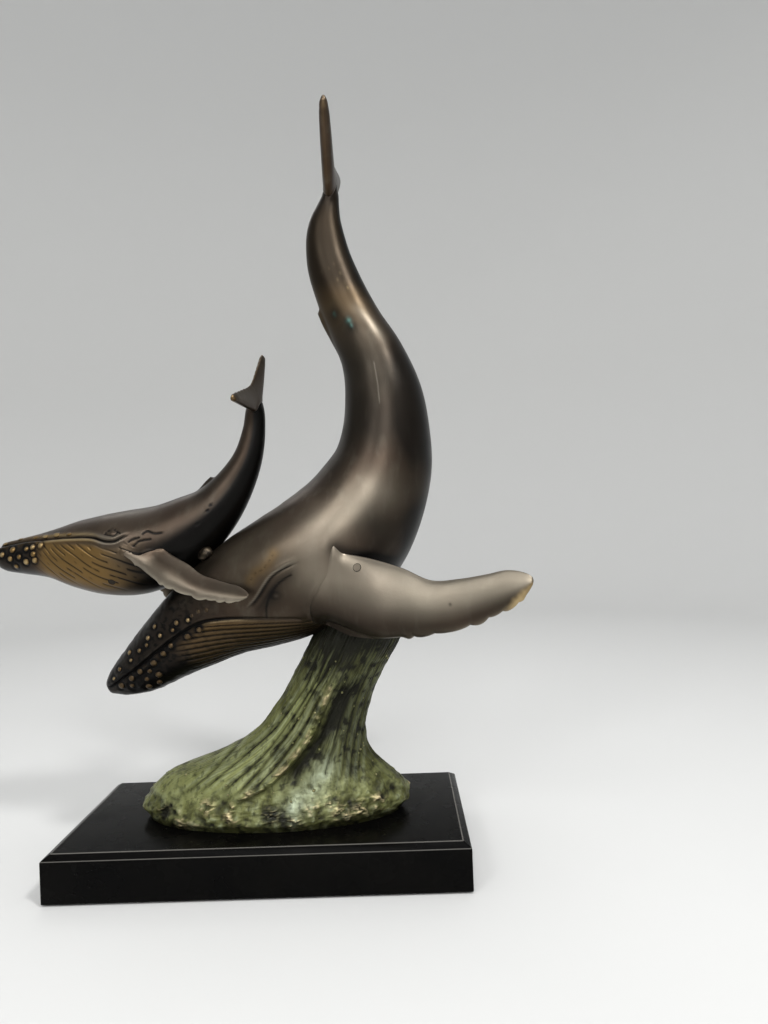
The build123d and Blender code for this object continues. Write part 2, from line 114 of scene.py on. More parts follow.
# %% Wrap a grid round a form
MERGE_GAP = 0.002 * MM
LAST = 0.9999


def skin(name, rows, columns, place, *form):
    """A closed skin. place() takes shares along and around, and gives points and a dict of marks, 0 to 1."""
    bm = bmesh.new()
    bmesh.ops.create_grid(bm, x_segments=columns, y_segments=rows, size=0.5)
    flat = np.array([v.co[:2] for v in bm.verts]) + 0.5
    points, marks = place(flat[:, 1], flat[:, 0], *form)
    layers = [(bm.verts.layers.float.new(label), np.clip(values, 0, 1)) for label, values in marks.items()]
    for i, v in enumerate(bm.verts):
        v.co = points[i]
        for layer, values in layers:
            v[layer] = values[i]
    bmesh.ops.remove_doubles(bm, verts=bm.verts, dist=MERGE_GAP)
    bmesh.ops.recalc_face_normals(bm, faces=bm.faces)
    return settle(name, bm)


def settle(name, bm):
    """Makes an object of a bmesh, with smooth shading."""
    for face in bm.faces:
        face.smooth = True
    mesh = bpy.data.meshes.new(name)
    bm.to_mesh(mesh)
    bm.free()
    piece = bpy.data.objects.new(name, mesh)
    scene.collection.objects.link(piece)
    print(name, "faces:", len(mesh.polygons))
    return piece


def dress(piece, node, finish):
    """Finishes a piece, and puts it in the place of a CAD node if it stands for one."""
    piece.data.materials.append(finish)
    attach(piece, "root")
    if node:
        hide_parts(node)


# %% [markdown]
# A patinated bronze is brown where the chemicals stayed, golden where they were wiped off, pale where hands
# wore it and black in the hollows. Marks carry that: golden, worn metal that also holds painted sheen and highlights,
# rubbed to brass, hollow darkness that also holds painted shade and shadows, and green for spots of verdigris.
# A finish mixes its colours by those marks, with slow noise for the cloudy brown.

# %% Node helpers
def new_finish(name, metallic=0.0, specular=0.5):
    """A material with its shader, and the tree that feeds it."""
    finish = bpy.data.materials.new(name)
    finish.use_nodes = True
    tree = finish.node_tree
    shader = next(n for n in tree.nodes if n.type == "BSDF_PRINCIPLED")
    shader.inputs["Metallic"].default_value = metallic
    shader.inputs["Specular IOR Level"].default_value = specular
    return finish, tree, shader


def add(tree, kind, output, values, links):
    """Adds a node, sets some of its inputs and links others, and gives one of its outputs."""
    node = tree.nodes.new("ShaderNode" + kind)
    for name, value in values.items():
        node.inputs[name].default_value = value
    for name, source in links.items():
        tree.links.new(source, node.inputs[name])
    return node.outputs[output]


def noise(tree, scale, detail, stretch=(1, 1, 1)):
    """A noise on the object's own coordinates, in waves per metre."""
    where = add(tree, "TexCoord", "Object", {}, {})
    where = add(tree, "Mapping", "Vector", {"Scale": stretch}, {"Vector": where})
    return add(tree, "TexNoise", "Fac", {"Scale": scale, "Detail": detail}, {"Vector": where})


def mark(tree, name):
    """A painted mark of the piece."""
    attribute = tree.nodes.new("ShaderNodeAttribute")
    attribute.attribute_name = name
    return attribute.outputs["Fac"]


def ramp(tree, fac, stops):
    """A colour ramp on a value."""
    node = tree.nodes.new("ShaderNodeValToRGB")
    while len(node.color_ramp.elements) < len(stops):
        node.color_ramp.elements.new(0.5)
    for element, (place, colour) in zip(node.color_ramp.elements, stops):
        element.position = place
        element.color = (*colour, 1)
    tree.links.new(fac, node.inputs["Fac"])
    return node.outputs["Color"]


def mix(tree, fac, a, b):
    """Mixes colour a to colour b by a value. Either may be a colour or a socket."""
    node = tree.nodes.new("ShaderNodeMix")
    node.data_type = "RGBA"
    tree.links.new(fac, node.inputs["Factor"])
    for value, crease_shade in ((a, node.inputs[6]), (b, node.inputs[7])):
        if isinstance(value, tuple):
            crease_shade.default_value = (*value, 1)
        else:
            tree.links.new(value, crease_shade)
    return node.outputs[2]


def scale_to(tree, fac, low, high, from_low=0.0, from_high=1.0):
    """A value put on another range."""
    ends = {"From Min": from_low, "From Max": from_high, "To Min": low, "To Max": high}
    return add(tree, "MapRange", "Result", ends, {"Value": fac})


def paint(tree, colour, layers):
    """Lays one colour after another over a base, each by its mark."""
    for name, layer in layers.items():
        colour = mix(tree, mark(tree, name), colour, layer)
    return colour


def coat(tree, shader, colour, rough, grain=None):
    """Feeds a shader its colour, its roughness and a fine relief that is too small to model."""
    tree.links.new(colour, shader.inputs["Base Color"])
    if isinstance(rough, float):
        shader.inputs["Roughness"].default_value = rough
    else:
        scale, detail, *ends = rough
        tree.links.new(scale_to(tree, noise(tree, scale, detail), *ends), shader.inputs["Roughness"])
    if grain:
        scale, detail, strength, distance = grain
        height = noise(tree, scale, detail)
        normal = add(tree, "Bump", "Normal", {"Strength": strength, "Distance": distance}, {"Height": height})
        tree.links.new(normal, shader.inputs["Normal"])


# %% Whale bronze
PATINA_DARK = (0.032, 0.023, 0.016)
PATINA_PALE = (0.100, 0.080, 0.056)
PATINA_RED = (0.088, 0.050, 0.034)
PATINA_GREY = (0.150, 0.135, 0.105)
PATINA_GOLD = (0.165, 0.100, 0.034)
# The worn colour also paints sheen and highlights, and the hollow colour also paints shade and shadows as well as dark
# patina.
WORN_AND_SHEEN_METAL = (0.38, 0.34, 0.27)
BRASS = (0.50, 0.38, 0.20)
VERDIGRIS = (0.050, 0.105, 0.092)
HOLLOW_AND_SHADE = (0.006, 0.0055, 0.005)

bronze, tree, shader = new_finish("bronze_patina", metallic=0.9)
clouds = ramp(tree, noise(tree, 16, 4), [(0.28, PATINA_DARK), (0.76, PATINA_PALE)])
blush = mix(tree, scale_to(tree, noise(tree, 12, 3), 0.0, 0.4, 0.42, 0.64), clouds, PATINA_RED)
scuffs = scale_to(tree, noise(tree, 150, 8, (1, 1, 0.35)), 0.0, 0.22, 0.52, 0.72)
colour = paint(tree, mix(tree, scuffs, blush, PATINA_GREY), {
    "golden": PATINA_GOLD, "worn_and_sheen": WORN_AND_SHEEN_METAL, "rubbed": BRASS, "sunk": HOLLOW_AND_SHADE, "green": VERDIGRIS})
coat(tree, shader, colour, rough=(60, 5, 0.32, 0.43, 0.3, 0.7), grain=(900, 4, 0.10, 0.0004))

# %% [markdown]
# Each whale hangs on a spine: lengths along it, with half a depth and half a width at each section.
# The sections are those of the CAD model. The nose is rounded by reading the girth against the square root
# of the length, which is how a blunt nose grows.

# %% Spines
PLINTH_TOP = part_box("plinth")[1].z / MM
MOTHER_MIDDLE = (45.0, PLINTH_TOP + 185.0)
CALF_MIDDLE = (MOTHER_MIDDLE[0] - 113.5, MOTHER_MIDDLE[1] + 13.8)
MOTHER_LINE = [
    (-163.4, -90.2, 0, 0), (-160, -89.4, 6.4, 6.6), (-154, -87.2, 10.8, 10.5), (-139.6, -79, 16.9, 17),
    (-118.2, -62.9, 23.3, 23.5), (-96.2, -47.5, 29.8, 29.5), (-73.5, -33.2, 36, 36), (-49.3, -21.8, 42, 41.5),
    (-24.2, -11.7, 46.3, 45), (0, 0, 48.6, 46), (20, 17.8, 46.6, 44), (35.2, 39.7, 42, 40),
    (46, 64.2, 36.7, 35.5), (49.7, 90.7, 32, 31), (48.4, 117.4, 28.3, 27), (41.8, 143.4, 23.6, 22),
    (30.4, 167.5, 20.4, 18), (19.9, 192.2, 18.6, 15), (12.2, 217.8, 16.4, 12), (11, 244.5, 11.8, 9),
    (13.4, 255.2, 8.4, 7.5), (16.4, 266.4, 5.2, 6.5), (18.6, 277, 2.6, 4),
]
CALF_LINE = [
    (-129.4, -6.9, 0, 0), (-126.5, -6.8, 6.4, 7), (-121, -6.6, 10, 10.5), (-107.7, -6.5, 12.9, 14.5),
    (-85.9, -5.8, 17.9, 20), (-64.2, -6.7, 25.4, 26), (-42.4, -7.4, 30, 30), (-20.7, -6, 31.4, 31),
    (0, 0, 29, 28), (19.1, 10.6, 24.8, 23), (36.4, 23.8, 18.8, 17.5), (50.2, 40.7, 14.4, 12.5),
    (60.6, 59.8, 10.7, 9.5), (66, 81, 8.2, 7), (67.4, 98, 6, 6), (67.8, 107, 2.4, 3.2),
]


def lengths(points):
    """Lengths along a run of points, from its first one."""
    return np.concatenate([[0], np.cumsum(np.hypot(*np.diff(points, axis=0).T))])


def unit(way):
    """A direction, or each row of a list of them, made one long."""
    return way / np.linalg.norm(way, axis=-1, keepdims=True)


def spine(line, middle):
    """Lengths along a centre line, and its rows moved to their place."""
    rows = np.array(line)
    rows[:, :2] += middle
    return lengths(rows[:, :2]), rows


def section(knots, rows, along):
    """Centre, direction to the back, half depth and half width at lengths along a spine."""
    centre = through(knots, rows[:, :2], along)
    ahead = unit(through(knots, rows[:, :2], along + 1) - through(knots, rows[:, :2], along - 1))
    girth = through(np.sqrt(knots), rows[:, 2:], np.sqrt(along))
    return centre, np.stack([-ahead[:, 1], ahead[:, 0]], 1), girth[:, 0], girth[:, 1]


# %% [markdown]
# The mouth, the creases and the eyelids are lines on the flank, so they are drawn as paths in the side view,
# in millimetres. Each vertex measures how far it is from a path, and on which side, and is then sunk into a
# groove or raised into a lip. Both flanks get the same lines, and the near one has a few scars and stains too.
# A few paths carry painted light instead: sheen on the shoulder, shadow above the flipper and a highlight streak on the
# near flank of the tail.

# %% Distance to a drawn path
TRACE_POINTS = 60


def trace(path):
    """A smooth run of points through a path's points."""
    path = np.array(path, float)
    reach = lengths(path)
    return through(reach, path, np.linspace(0, reach[-1], TRACE_POINTS))


def from_path(x, z, path):
    """Signed distance of side-view points from a path, positive on its left, and the share along it."""
    points = trace(path)
    best = np.full(len(x), 1e9)
    sign, share = np.ones(len(x)), np.zeros(len(x))
    for i, ((ax, az), (bx, bz)) in enumerate(zip(points, points[1:])):
        dx, dz = bx - ax, bz - az
        t = np.clip(((x - ax) * dx + (z - az) * dz) / (dx * dx + dz * dz), 0, 1)
        gap = np.hypot(x - ax - t * dx, z - az - t * dz)
        nearer = gap < best
        best = np.where(nearer, gap, best)
        sign = np.where(nearer, np.sign(dx * (z - az) - dz * (x - ax)), sign)
        share = np.where(nearer, (i + t) / (len(points) - 1), share)
    return best * sign, share


def hump(x, width):
    """A soft bell of height 1."""
    return np.exp(-(x / width) ** 2)


def on_path(x, z, path, width):
    """1 on a drawn path, fading out within a width."""
    return hump(from_path(x, z, path)[0], width)


def rings(x, z, places, radius, width):
    """1 on a ring round each place, or in its middle if the radius is 0."""
    return np.max([hump(np.hypot(x - px, z - pz) - radius, width) for px, pz in places], axis=0)


def solid_noise(x, y, z, roughness, octaves):
    """Noise at a list of places."""
    return np.array([relief.fractal(Vector(place), roughness, 2.0, octaves) for place in zip(x, y, z)])


# %% [markdown]
# The mother's head is dark, with a mouth that runs from the snout to the flipper and knobs along both jaws.
# Under it the throat has lengthwise pleats, wiped to a brown gold. Behind the head lie the curved creases of
# the shoulder. A hooked fin stands low on the back.

# %% The mother's lines
MOTHER_MOUTH = [(-119, 126), (-110, 129), (-104, 133), (-90, 142), (-78, 151), (-64, 161), (-50, 170), (-42, 174),
                (-35, 176), (-19, 177.5), (-3, 177.5), (14, 177), (31, 176)]
MOTHER_PLEAT_TOP = [(-110, 168), (-80, 172), (-35, 176), (-3, 177), (31, 176)]
MOTHER_CREASE = [(-6, 183), (2, 190), (5, 194), (9, 200), (14, 206), (20, 210), (26, 213), (34, 216)]
MOTHER_SHOULDER = [(8, 178), (9, 186), (13, 195), (19, 202), (27, 207)]
MOTHER_KNOBS_ABOVE = [(-48, 177), (-57, 175), (-60, 170), (-70, 166), (-80, 164), (-81, 159), (-87, 155), (-96, 153),
                      (-94, 148), (-104, 141), (-75, 172), (-109, 134)]
MOTHER_KNOBS_FAINT = [(-40, 183), (-34, 184), (-45, 180)]
MOTHER_KNOBS_BELOW = [(-40, 170), (-49, 165), (-62, 159), (-68, 153), (-76, 146), (-80, 140), (-87, 140), (-74, 137),
                      (-83, 134), (-94, 135), (-83, 128), (-95, 129), (-75, 131), (-103, 129)]
MOTHER_CRACK = [(-1, 204), (3, 209), (7, 211), (11, 215), (15, 221)]
MOTHER_SCRATCH = [(88, 353), (90, 338), (91, 324)]
MOTHER_SPOTS = [(61, 390, 1.2), (71, 384, 1.9), (73, 380, 1.1)]
MOTHER_SPECKS = [(62, 426), (66, 420), (69, 413), (58, 424), (71, 409), (64, 415), (53, 421)]
MOTHER_EYE = (16, 193)
MOTHER_ARMPIT_SHADE = (38, 186)
KNOB_RADIUS = 1.9
KNOB_RADIUS_BELOW = 2.5
SPINE_STEPS = 800
PLEATS = 12
THROAT_REACH = 62
MOTHER_SHOULDER_SHEEN = [(84, 260), (61, 245), (45, 232), (44, 214), (52, 200)]
MOTHER_FLIPPER_SHADOW = [(58, 223), (75, 217), (104, 207)]
MOTHER_TAIL_HIGHLIGHT = [(71, 399), (87, 382), (101, 362)]


def knob_rings(x, z, places, radius):
    """1 in the hollow ring round each knob."""
    return rings(x, z, places, 1.15 * radius, 0.45 * radius)


def pleat_share(along, round_turn, knots, rows, mouth):
    """How far down the throat a point lies: 0 at the mouth and 1 at the keel."""
    points = trace(mouth)
    fine = np.linspace(0, knots[-1], SPINE_STEPS)
    centre, back, depth, width = section(knots, rows, fine)
    gaps = points[:, None, :] - centre[None]
    nearest = np.argmin((gaps ** 2).sum(2), axis=1)
    level = (gaps[np.arange(len(points)), nearest] * back[nearest]).sum(1) / depth[nearest]
    mouth_turn = np.arccos(np.clip(np.interp(along, fine[nearest], level), -0.95, 0.95))
    return (round_turn - mouth_turn) / (math.pi - mouth_turn)


mother_knots, mother_rows = spine(MOTHER_LINE, MOTHER_MIDDLE)
calf_knots, calf_rows = spine(CALF_LINE, CALF_MIDDLE)
BACK_SHARE = 0.16
TAIL_TAPER = 0.7


def whale_place(u, v, knots, rows, dense_length, dense_share, detail):
    """Places a whale's skin: rows lie closer together along the head, and columns are few on the smooth back."""
    along = np.interp(u, [0, dense_share, 1], [0, dense_length, knots[-1]])
    centre, back, depth, width = section(knots, rows, along)
    half_turn = np.interp(1 - np.abs(1 - 2 * v), [0, BACK_SHARE, 1], [0, math.pi / 3, math.pi])
    turn = np.where(v <= 0.5, half_turn, 2 * math.pi - half_turn)
    shrink = np.where(u > LAST, 0, 1 - TAIL_TAPER * ease(knots[-2] - 2, knots[-1], along))
    height, side = depth * np.cos(turn) * shrink, width * np.sin(turn) * shrink
    outward = unit(np.stack([np.cos(turn) / np.maximum(depth, 0.1), np.sin(turn) / np.maximum(width, 0.1)], 1))
    x, z = centre[:, 0] + height * back[:, 0], centre[:, 1] + height * back[:, 1]
    lift, marks = detail(along, np.minimum(turn, 2 * math.pi - turn), x, z, side)
    lift = lift * ease(0, 4, along) * shrink
    height, side = height + lift * outward[:, 0], side + lift * outward[:, 1]
    points = np.stack([centre[:, 0] + height * back[:, 0], -side, centre[:, 1] + height * back[:, 1]], 1)
    return points * MM, marks


def fin(along, turn, side, start, end, height, thickness):
    """A low hooked fin on the back."""
    share = (along - start) / (end - start)
    hook = between(0, 0.8, 0.93, 1.0, share)
    return height * hook * hump(side, thickness) * (turn < 1.2)


# %% The mother's body
MOTHER_FIN = (360, 397, 2.4, 2.6)
MOTHER_GRID = (380, 236)
MOTHER_DENSE_LENGTH, MOTHER_DENSE_SHARE = 240, 0.68


def mother_detail(along, turn, x, z, side):
    """How far the mother's skin is raised, and its marks."""
    near = side > 0
    mouth, share = from_path(x, z, MOTHER_MOUTH)
    open_mouth = 1 - ease(0.62, 0.9, share)
    crease, crease_share = from_path(x, z, MOTHER_CREASE)
    drawn = between(0, 0.2, 0.78, 1, crease_share)
    # Painted shade in a band beside the shoulder crease.
    crease_shade = hump(crease + 6.5, 5.0) * drawn
    shoulder = on_path(x, z, MOTHER_SHOULDER, 0.7)
    drop = pleat_share(along, turn, mother_knots, mother_rows, MOTHER_PLEAT_TOP)
    zone = between(56, 80, 205, 240, along) * ease(3.5, 8.0, -mouth + 4 * ease(0.5, 0.62, share))
    line_gap = np.abs(drop * PLEATS - np.round(drop * PLEATS)) / PLEATS * THROAT_REACH
    pleat = zone * hump(line_gap, 0.62)
    groove = hump(mouth, 0.8) * (0.35 + 0.65 * open_mouth)
    lip = hump(mouth + 3.6, 2.6) * open_mouth
    knobs = np.maximum(knob_rings(x, z, MOTHER_KNOBS_ABOVE, KNOB_RADIUS),
                       knob_rings(x, z, MOTHER_KNOBS_BELOW, KNOB_RADIUS_BELOW))
    jaw = ease(1.75, 2.7, turn) * between(4, 40, 125, 200, along)
    fold = on_path(x, z, [(px + 3.4, pz - 3) for px, pz in MOTHER_CREASE], 1.0) * drawn
    # Painted sheen: a pale band along the shoulder that stands for its highlight.
    shoulder_sheen = on_path(x, z, MOTHER_SHOULDER_SHEEN, 15)
    # Painted shadow on the flank along the flipper's upper edge.
    flipper_shadow = on_path(x, z, MOTHER_FLIPPER_SHADOW, 5)
    # Painted shade darkens the trunk towards its right, darker patina rises up the trunk, and the far flank is evenly
    # dark.
    trunk_patina_and_shade = 0.74 * ease(262, 310, z) + 0.65 * ease(62, 88, x) * (1 - ease(235, 262, z)) + 0.5 * ease(98, 114, x)
    trunk_patina_and_shade = np.clip(trunk_patina_and_shade, 0, 0.85) * (1 - 0.55 * ease(350, 385, z))
    near_side = ease(-10, 12, side)
    trunk_patina_and_shade = 0.45 + (trunk_patina_and_shade - 0.45) * near_side
    eye_gap = np.hypot((x - MOTHER_EYE[0]) / 1.3, z - MOTHER_EYE[1])
    eye, eye_ring = hump(eye_gap, 1.5), hump(eye_gap - 2.5, 0.8)
    # A painted highlight streak on the near flank of the tail.
    tail_highlight_gap, tail_highlight_share = from_path(x, z, MOTHER_TAIL_HIGHLIGHT)
    tail_highlight = near * hump(tail_highlight_gap, 3.0) * between(0, 0.3, 0.55, 1, tail_highlight_share)
    crack_gap, crack_share = from_path(x, z, MOTHER_CRACK)
    crack = near * hump(crack_gap, 0.4) * ease(-0.3, 0.2, np.sin(34 * crack_share))
    scratch = near * on_path(x, z, MOTHER_SCRATCH, 0.35)
    spots = near * np.max([hump(np.hypot(x - px, z - pz), r) for px, pz, r in MOTHER_SPOTS], axis=0)
    stain = near * rings(x, z, [spot[:2] for spot in MOTHER_SPOTS], 0, 5.0)
    specks = near * rings(x, z, MOTHER_SPECKS, 0, 0.7)
    head = 1 - ease(70, 150, along)
    grain = solid_noise(0.22 * x, 0.22 * side, 0.22 * z, 0.7, 3)
    lift = -1.6 * groove + 1.0 * lip + 0.4 * hump(mouth - 2.6, 1.6) * open_mouth + 3.4 * jaw
    lift += -0.8 * pleat + 0.4 * zone - 0.5 * shoulder
    lift += drawn * (0.35 * hump(crease - 2.4, 1.5) - 1.0 * hump(crease, 1.0))
    lift += -0.25 * knobs - 0.2 * fold + 0.5 * eye + 0.35 * spots + 0.22 * head * grain
    lift += fin(along, turn, side, *MOTHER_FIN)
    # Painted shade round the eye, where the flipper meets the body, and on the underside.
    eye_shade = hump(eye_gap, 10)
    armpit_shade = hump(np.hypot(x - MOTHER_ARMPIT_SHADE[0], z - MOTHER_ARMPIT_SHADE[1]), 13)
    belly_shade = ease(2.35, 2.9, turn)
    tail = between(360, 410, 450, 480, along)
    marks = {
        "golden": 0.45 * zone + 0.25 * lip * ease(20, 60, along) + 0.45 * tail + 0.4 * hump(crack_gap, 4) * near,
        # The small pale spot on the eye is a painted glint, and the shoulder band and tail streak here are painted
        # sheen and highlight.
        "worn_and_sheen": (0.35 * hump(crease - 1.4, 0.7) * drawn + 0.6 * scratch + 0.3 * shoulder_sheen + 0.2 * hump(eye_gap, 0.8)
                 + 0.2 * tail_highlight),
        "rubbed": (0.4 * hump(mouth + 1.2, 0.5) * between(0.5, 0.58, 0.72, 0.85, share)
                   + 0.7 * specks),
        "sunk": (0.55 * ease(388, 418, z) * near_side + 0.95 * groove + 0.95 * pleat
                 + 0.95 * hump(crease, 0.85) * drawn + 0.6 * shoulder + 0.45 * knobs + 0.8 * head * (1 - zone)
                 + 0.22 * zone + 0.3 * belly_shade + 0.15 * fold + 0.4 * eye_shade + 0.4 * crease_shade + 0.15 * eye_ring
                 + 0.45 * stain + 0.35 * armpit_shade + 0.6 * crack + 0.3 * jaw + 0.25 * head * ease(0.1, 0.5, -grain)
                 + trunk_patina_and_shade + 0.8 * flipper_shadow),
        "green": 0.9 * spots,
    }
    return lift, marks


mother_body = skin("mother_body_skin", *MOTHER_GRID, whale_place, mother_knots, mother_rows,
                   MOTHER_DENSE_LENGTH, MOTHER_DENSE_SHARE, mother_detail)

# %% [markdown]
# The calf is the mother in little, but its mouth is set high and its throat is polished to a clear gold with
# slanting cuts across it. An upper and a lower lid hold the eye.

# %% The calf's body
CALF_MOUTH = [(-199, 231), (-187, 233.2), (-170.5, 235.7), (-151.4, 236.8), (-130.4, 237.6), (-114, 236.8),
              (-104, 233.9), (-98, 233.9), (-92.3, 236.7), (-86.9, 239.2)]
CALF_EYE = (-100.6, 239.8)
CALF_LID = [(-106, 238.8), (-103.5, 241), (-100.1, 242.2), (-97, 240.6), (-94.5, 239)]
CALF_LID_UNDER = [(-106, 238.8), (-102.2, 237.9), (-98.5, 237.7), (-96.5, 239.6)]
CALF_CREASES = [[(-88, 232.7), (-85.3, 234.5), (-80.9, 235.5)], [(-84.4, 229.9), (-80.6, 233), (-73.1, 234.1)],
                [(-78.6, 238.4), (-76.1, 239.9), (-70.7, 238.1), (-65.6, 238.3)]]
CALF_KNOBS_BELOW = [(-187, 226.7), (-178.7, 230), (-167, 230.4), (-162, 231.5), (-155.4, 232.5), (-172.6, 224.8),
                    (-180.2, 223.5), (-167.2, 221), (-176.4, 217.8), (-161, 226.5), (-160, 222)]
CALF_KNOBS_ABOVE = [(-188, 234.3), (-176.7, 237.2), (-162.7, 238.2), (-153.7, 238.7), (-144.3, 239.6), (-133.6, 239.9)]
CALF_PITS = [(-32.8, 256.8), (-34.8, 252.7), (-41.6, 243.2)]
CALF_KNOB_RADIUS = 2.35
CALF_CUT_START = -150.0
CALF_CUT_SLOPE = 0.95
CALF_CUT_BEND = 0.00525
CALF_CUT_SPACING = 4.5
CALF_FIN = (168, 192, 2.8, 1.8)
CALF_GRID = (360, 256)
CALF_DENSE_LENGTH, CALF_DENSE_SHARE = 130, 0.7


def calf_detail(along, turn, x, z, side):
    """How far the calf's skin is raised, and its marks."""
    mouth, share = from_path(x, z, CALF_MOUTH)
    open_mouth = 1 - ease(0.9, 1.0, share)
    drop = pleat_share(along, turn, calf_knots, calf_rows, CALF_MOUTH)
    zone = between(34, 50, 100, 128, along) * ease(0.06, 0.14, drop)
    run = x - CALF_CUT_START
    across = (z + CALF_CUT_SLOPE * run - CALF_CUT_BEND * run ** 2 + 0.5 * np.sin(0.21 * x)) / CALF_CUT_SPACING
    number = np.round(across)
    dash = ease(-0.75, -0.3, np.sin(0.17 * x + 2.4 * number) + 0.4 * np.sin(0.7 * x + number))
    cut = zone * hump((across - number) * CALF_CUT_SPACING, 0.65) * dash * (1 - ease(0.5, 0.75, drop))
    groove = hump(mouth, 0.7) * open_mouth
    lip = hump(mouth + 2.2, 1.4) * open_mouth
    brow = hump(mouth - 2.2, 1.3) * open_mouth
    lid = np.maximum(on_path(x, z, CALF_LID, 0.5), on_path(x, z, CALF_LID_UNDER, 0.45))
    creases = np.max([on_path(x, z, path, 0.6) for path in CALF_CREASES], axis=0)
    knobs = knob_rings(x, z, CALF_KNOBS_BELOW, CALF_KNOB_RADIUS)
    pits = rings(x, z, CALF_PITS, 0, 0.9) * (side > 0)
    eye = hump(np.hypot((x - CALF_EYE[0]) / 1.5, z - CALF_EYE[1]), 1.2)
    chin = (1 - ease(26, 46, along)) * ease(0.0, 0.06, drop)
    # Painted shade on the underside and on the lower flank by the flipper's root.
    belly_shade = np.clip(ease(2.2, 2.8, turn) + ease(85, 120, along) * ease(1.3, 1.8, turn), 0, 1)
    corner = ease(-120, -106, x)
    grey = hump(np.hypot(x + 90, z - 228), 13)
    lift = -1.3 * groove + 0.55 * lip + 0.5 * brow
    lift += -0.45 * cut - 0.5 * lid - 0.5 * creases - 0.3 * knobs - 0.5 * pits + 0.3 * eye
    lift += fin(along, turn, side, *CALF_FIN)
    marks = {
        "golden": zone * (1 - 0.5 * belly_shade) * (1 - 0.75 * grey) + (0.85 * lip + 0.5 * brow) * (1 - corner),
        "worn_and_sheen": (0.35 * hump(mouth + 1.7, 0.7) * ease(40, 60, along) * open_mouth
                 + 0.25 * brow * ease(60, 80, along) + 0.1 * grey),
        "rubbed": ((0.7 * hump(mouth + 1.8, 0.8) + 0.5 * hump(mouth - 1.8, 0.7)) * ease(30, 60, along)
                   * (1 - corner) * open_mouth),
        "sunk": (groove + 0.9 * cut + 0.85 * lid + 0.75 * creases + 0.6 * knobs + 0.75 * chin + pits + 0.6 * belly_shade
                 + 0.6 * hump(mouth - 4.6, 1.0) * (1 - ease(50, 66, along))
                 + 0.28 * ease(50, 80, along) * (1 - zone) + 0.2 * ease(90, 120, along)),
    }
    return lift, marks


calf_body = skin("calf_body_skin", *CALF_GRID, whale_place, calf_knots, calf_rows,
                 CALF_DENSE_LENGTH, CALF_DENSE_SHARE, calf_detail)

# %% [markdown]
# A flipper is a blade on its own axis: from the root in the body it runs along one direction, with its
# trailing edge facing another. The leading edge has the humpback's row of knobs, which a scalloped edge
# gives better than separate balls. Its rim is wiped bright.

# %% Flippers
FLIPPER_SHAPE = [
    (-0.24, 0.22, 0.62, 0.90, 1.15), (-0.12, 0.13, 0.80, 1.00, 0.60), (0.00, 0.02, 0.95, 1.00, 0.25),
    (0.21, -0.18, 1.00, 0.86, 0.0), (0.42, -0.31, 0.82, 0.66, 0.0), (0.55, -0.41, 0.63, 0.54, 0.0),
    (0.68, -0.32, 0.57, 0.45, 0.0), (0.80, -0.15, 0.50, 0.37, 0.0), (0.89, 0.01, 0.43, 0.30, 0.0),
    (0.95, 0.09, 0.31, 0.23, 0.0), (0.98, 0.15, 0.19, 0.17, 0.0), (1.00, 0.20, 0.06, 0.10, 0.0),
]
FLIPPER_START = -0.24
FLIPPER_PIT = (131.6, 186.3)
THORN_SHARE = 0.085
ROOT_SHARE = 0.34
Blade = namedtuple("Blade", "length half_chord half_thickness knobs knob_height knob_start collar ridge brass rim "
                            "slim thorn", defaults=(0, 0, 0, 0, 0))


def axes(along, trail):
    """Three square directions of a blade: along it, to its trailing edge, and out of its face."""
    along = unit(along)
    trail = unit(trail - np.dot(trail, along) * along)
    return along, trail, np.cross(along, trail)


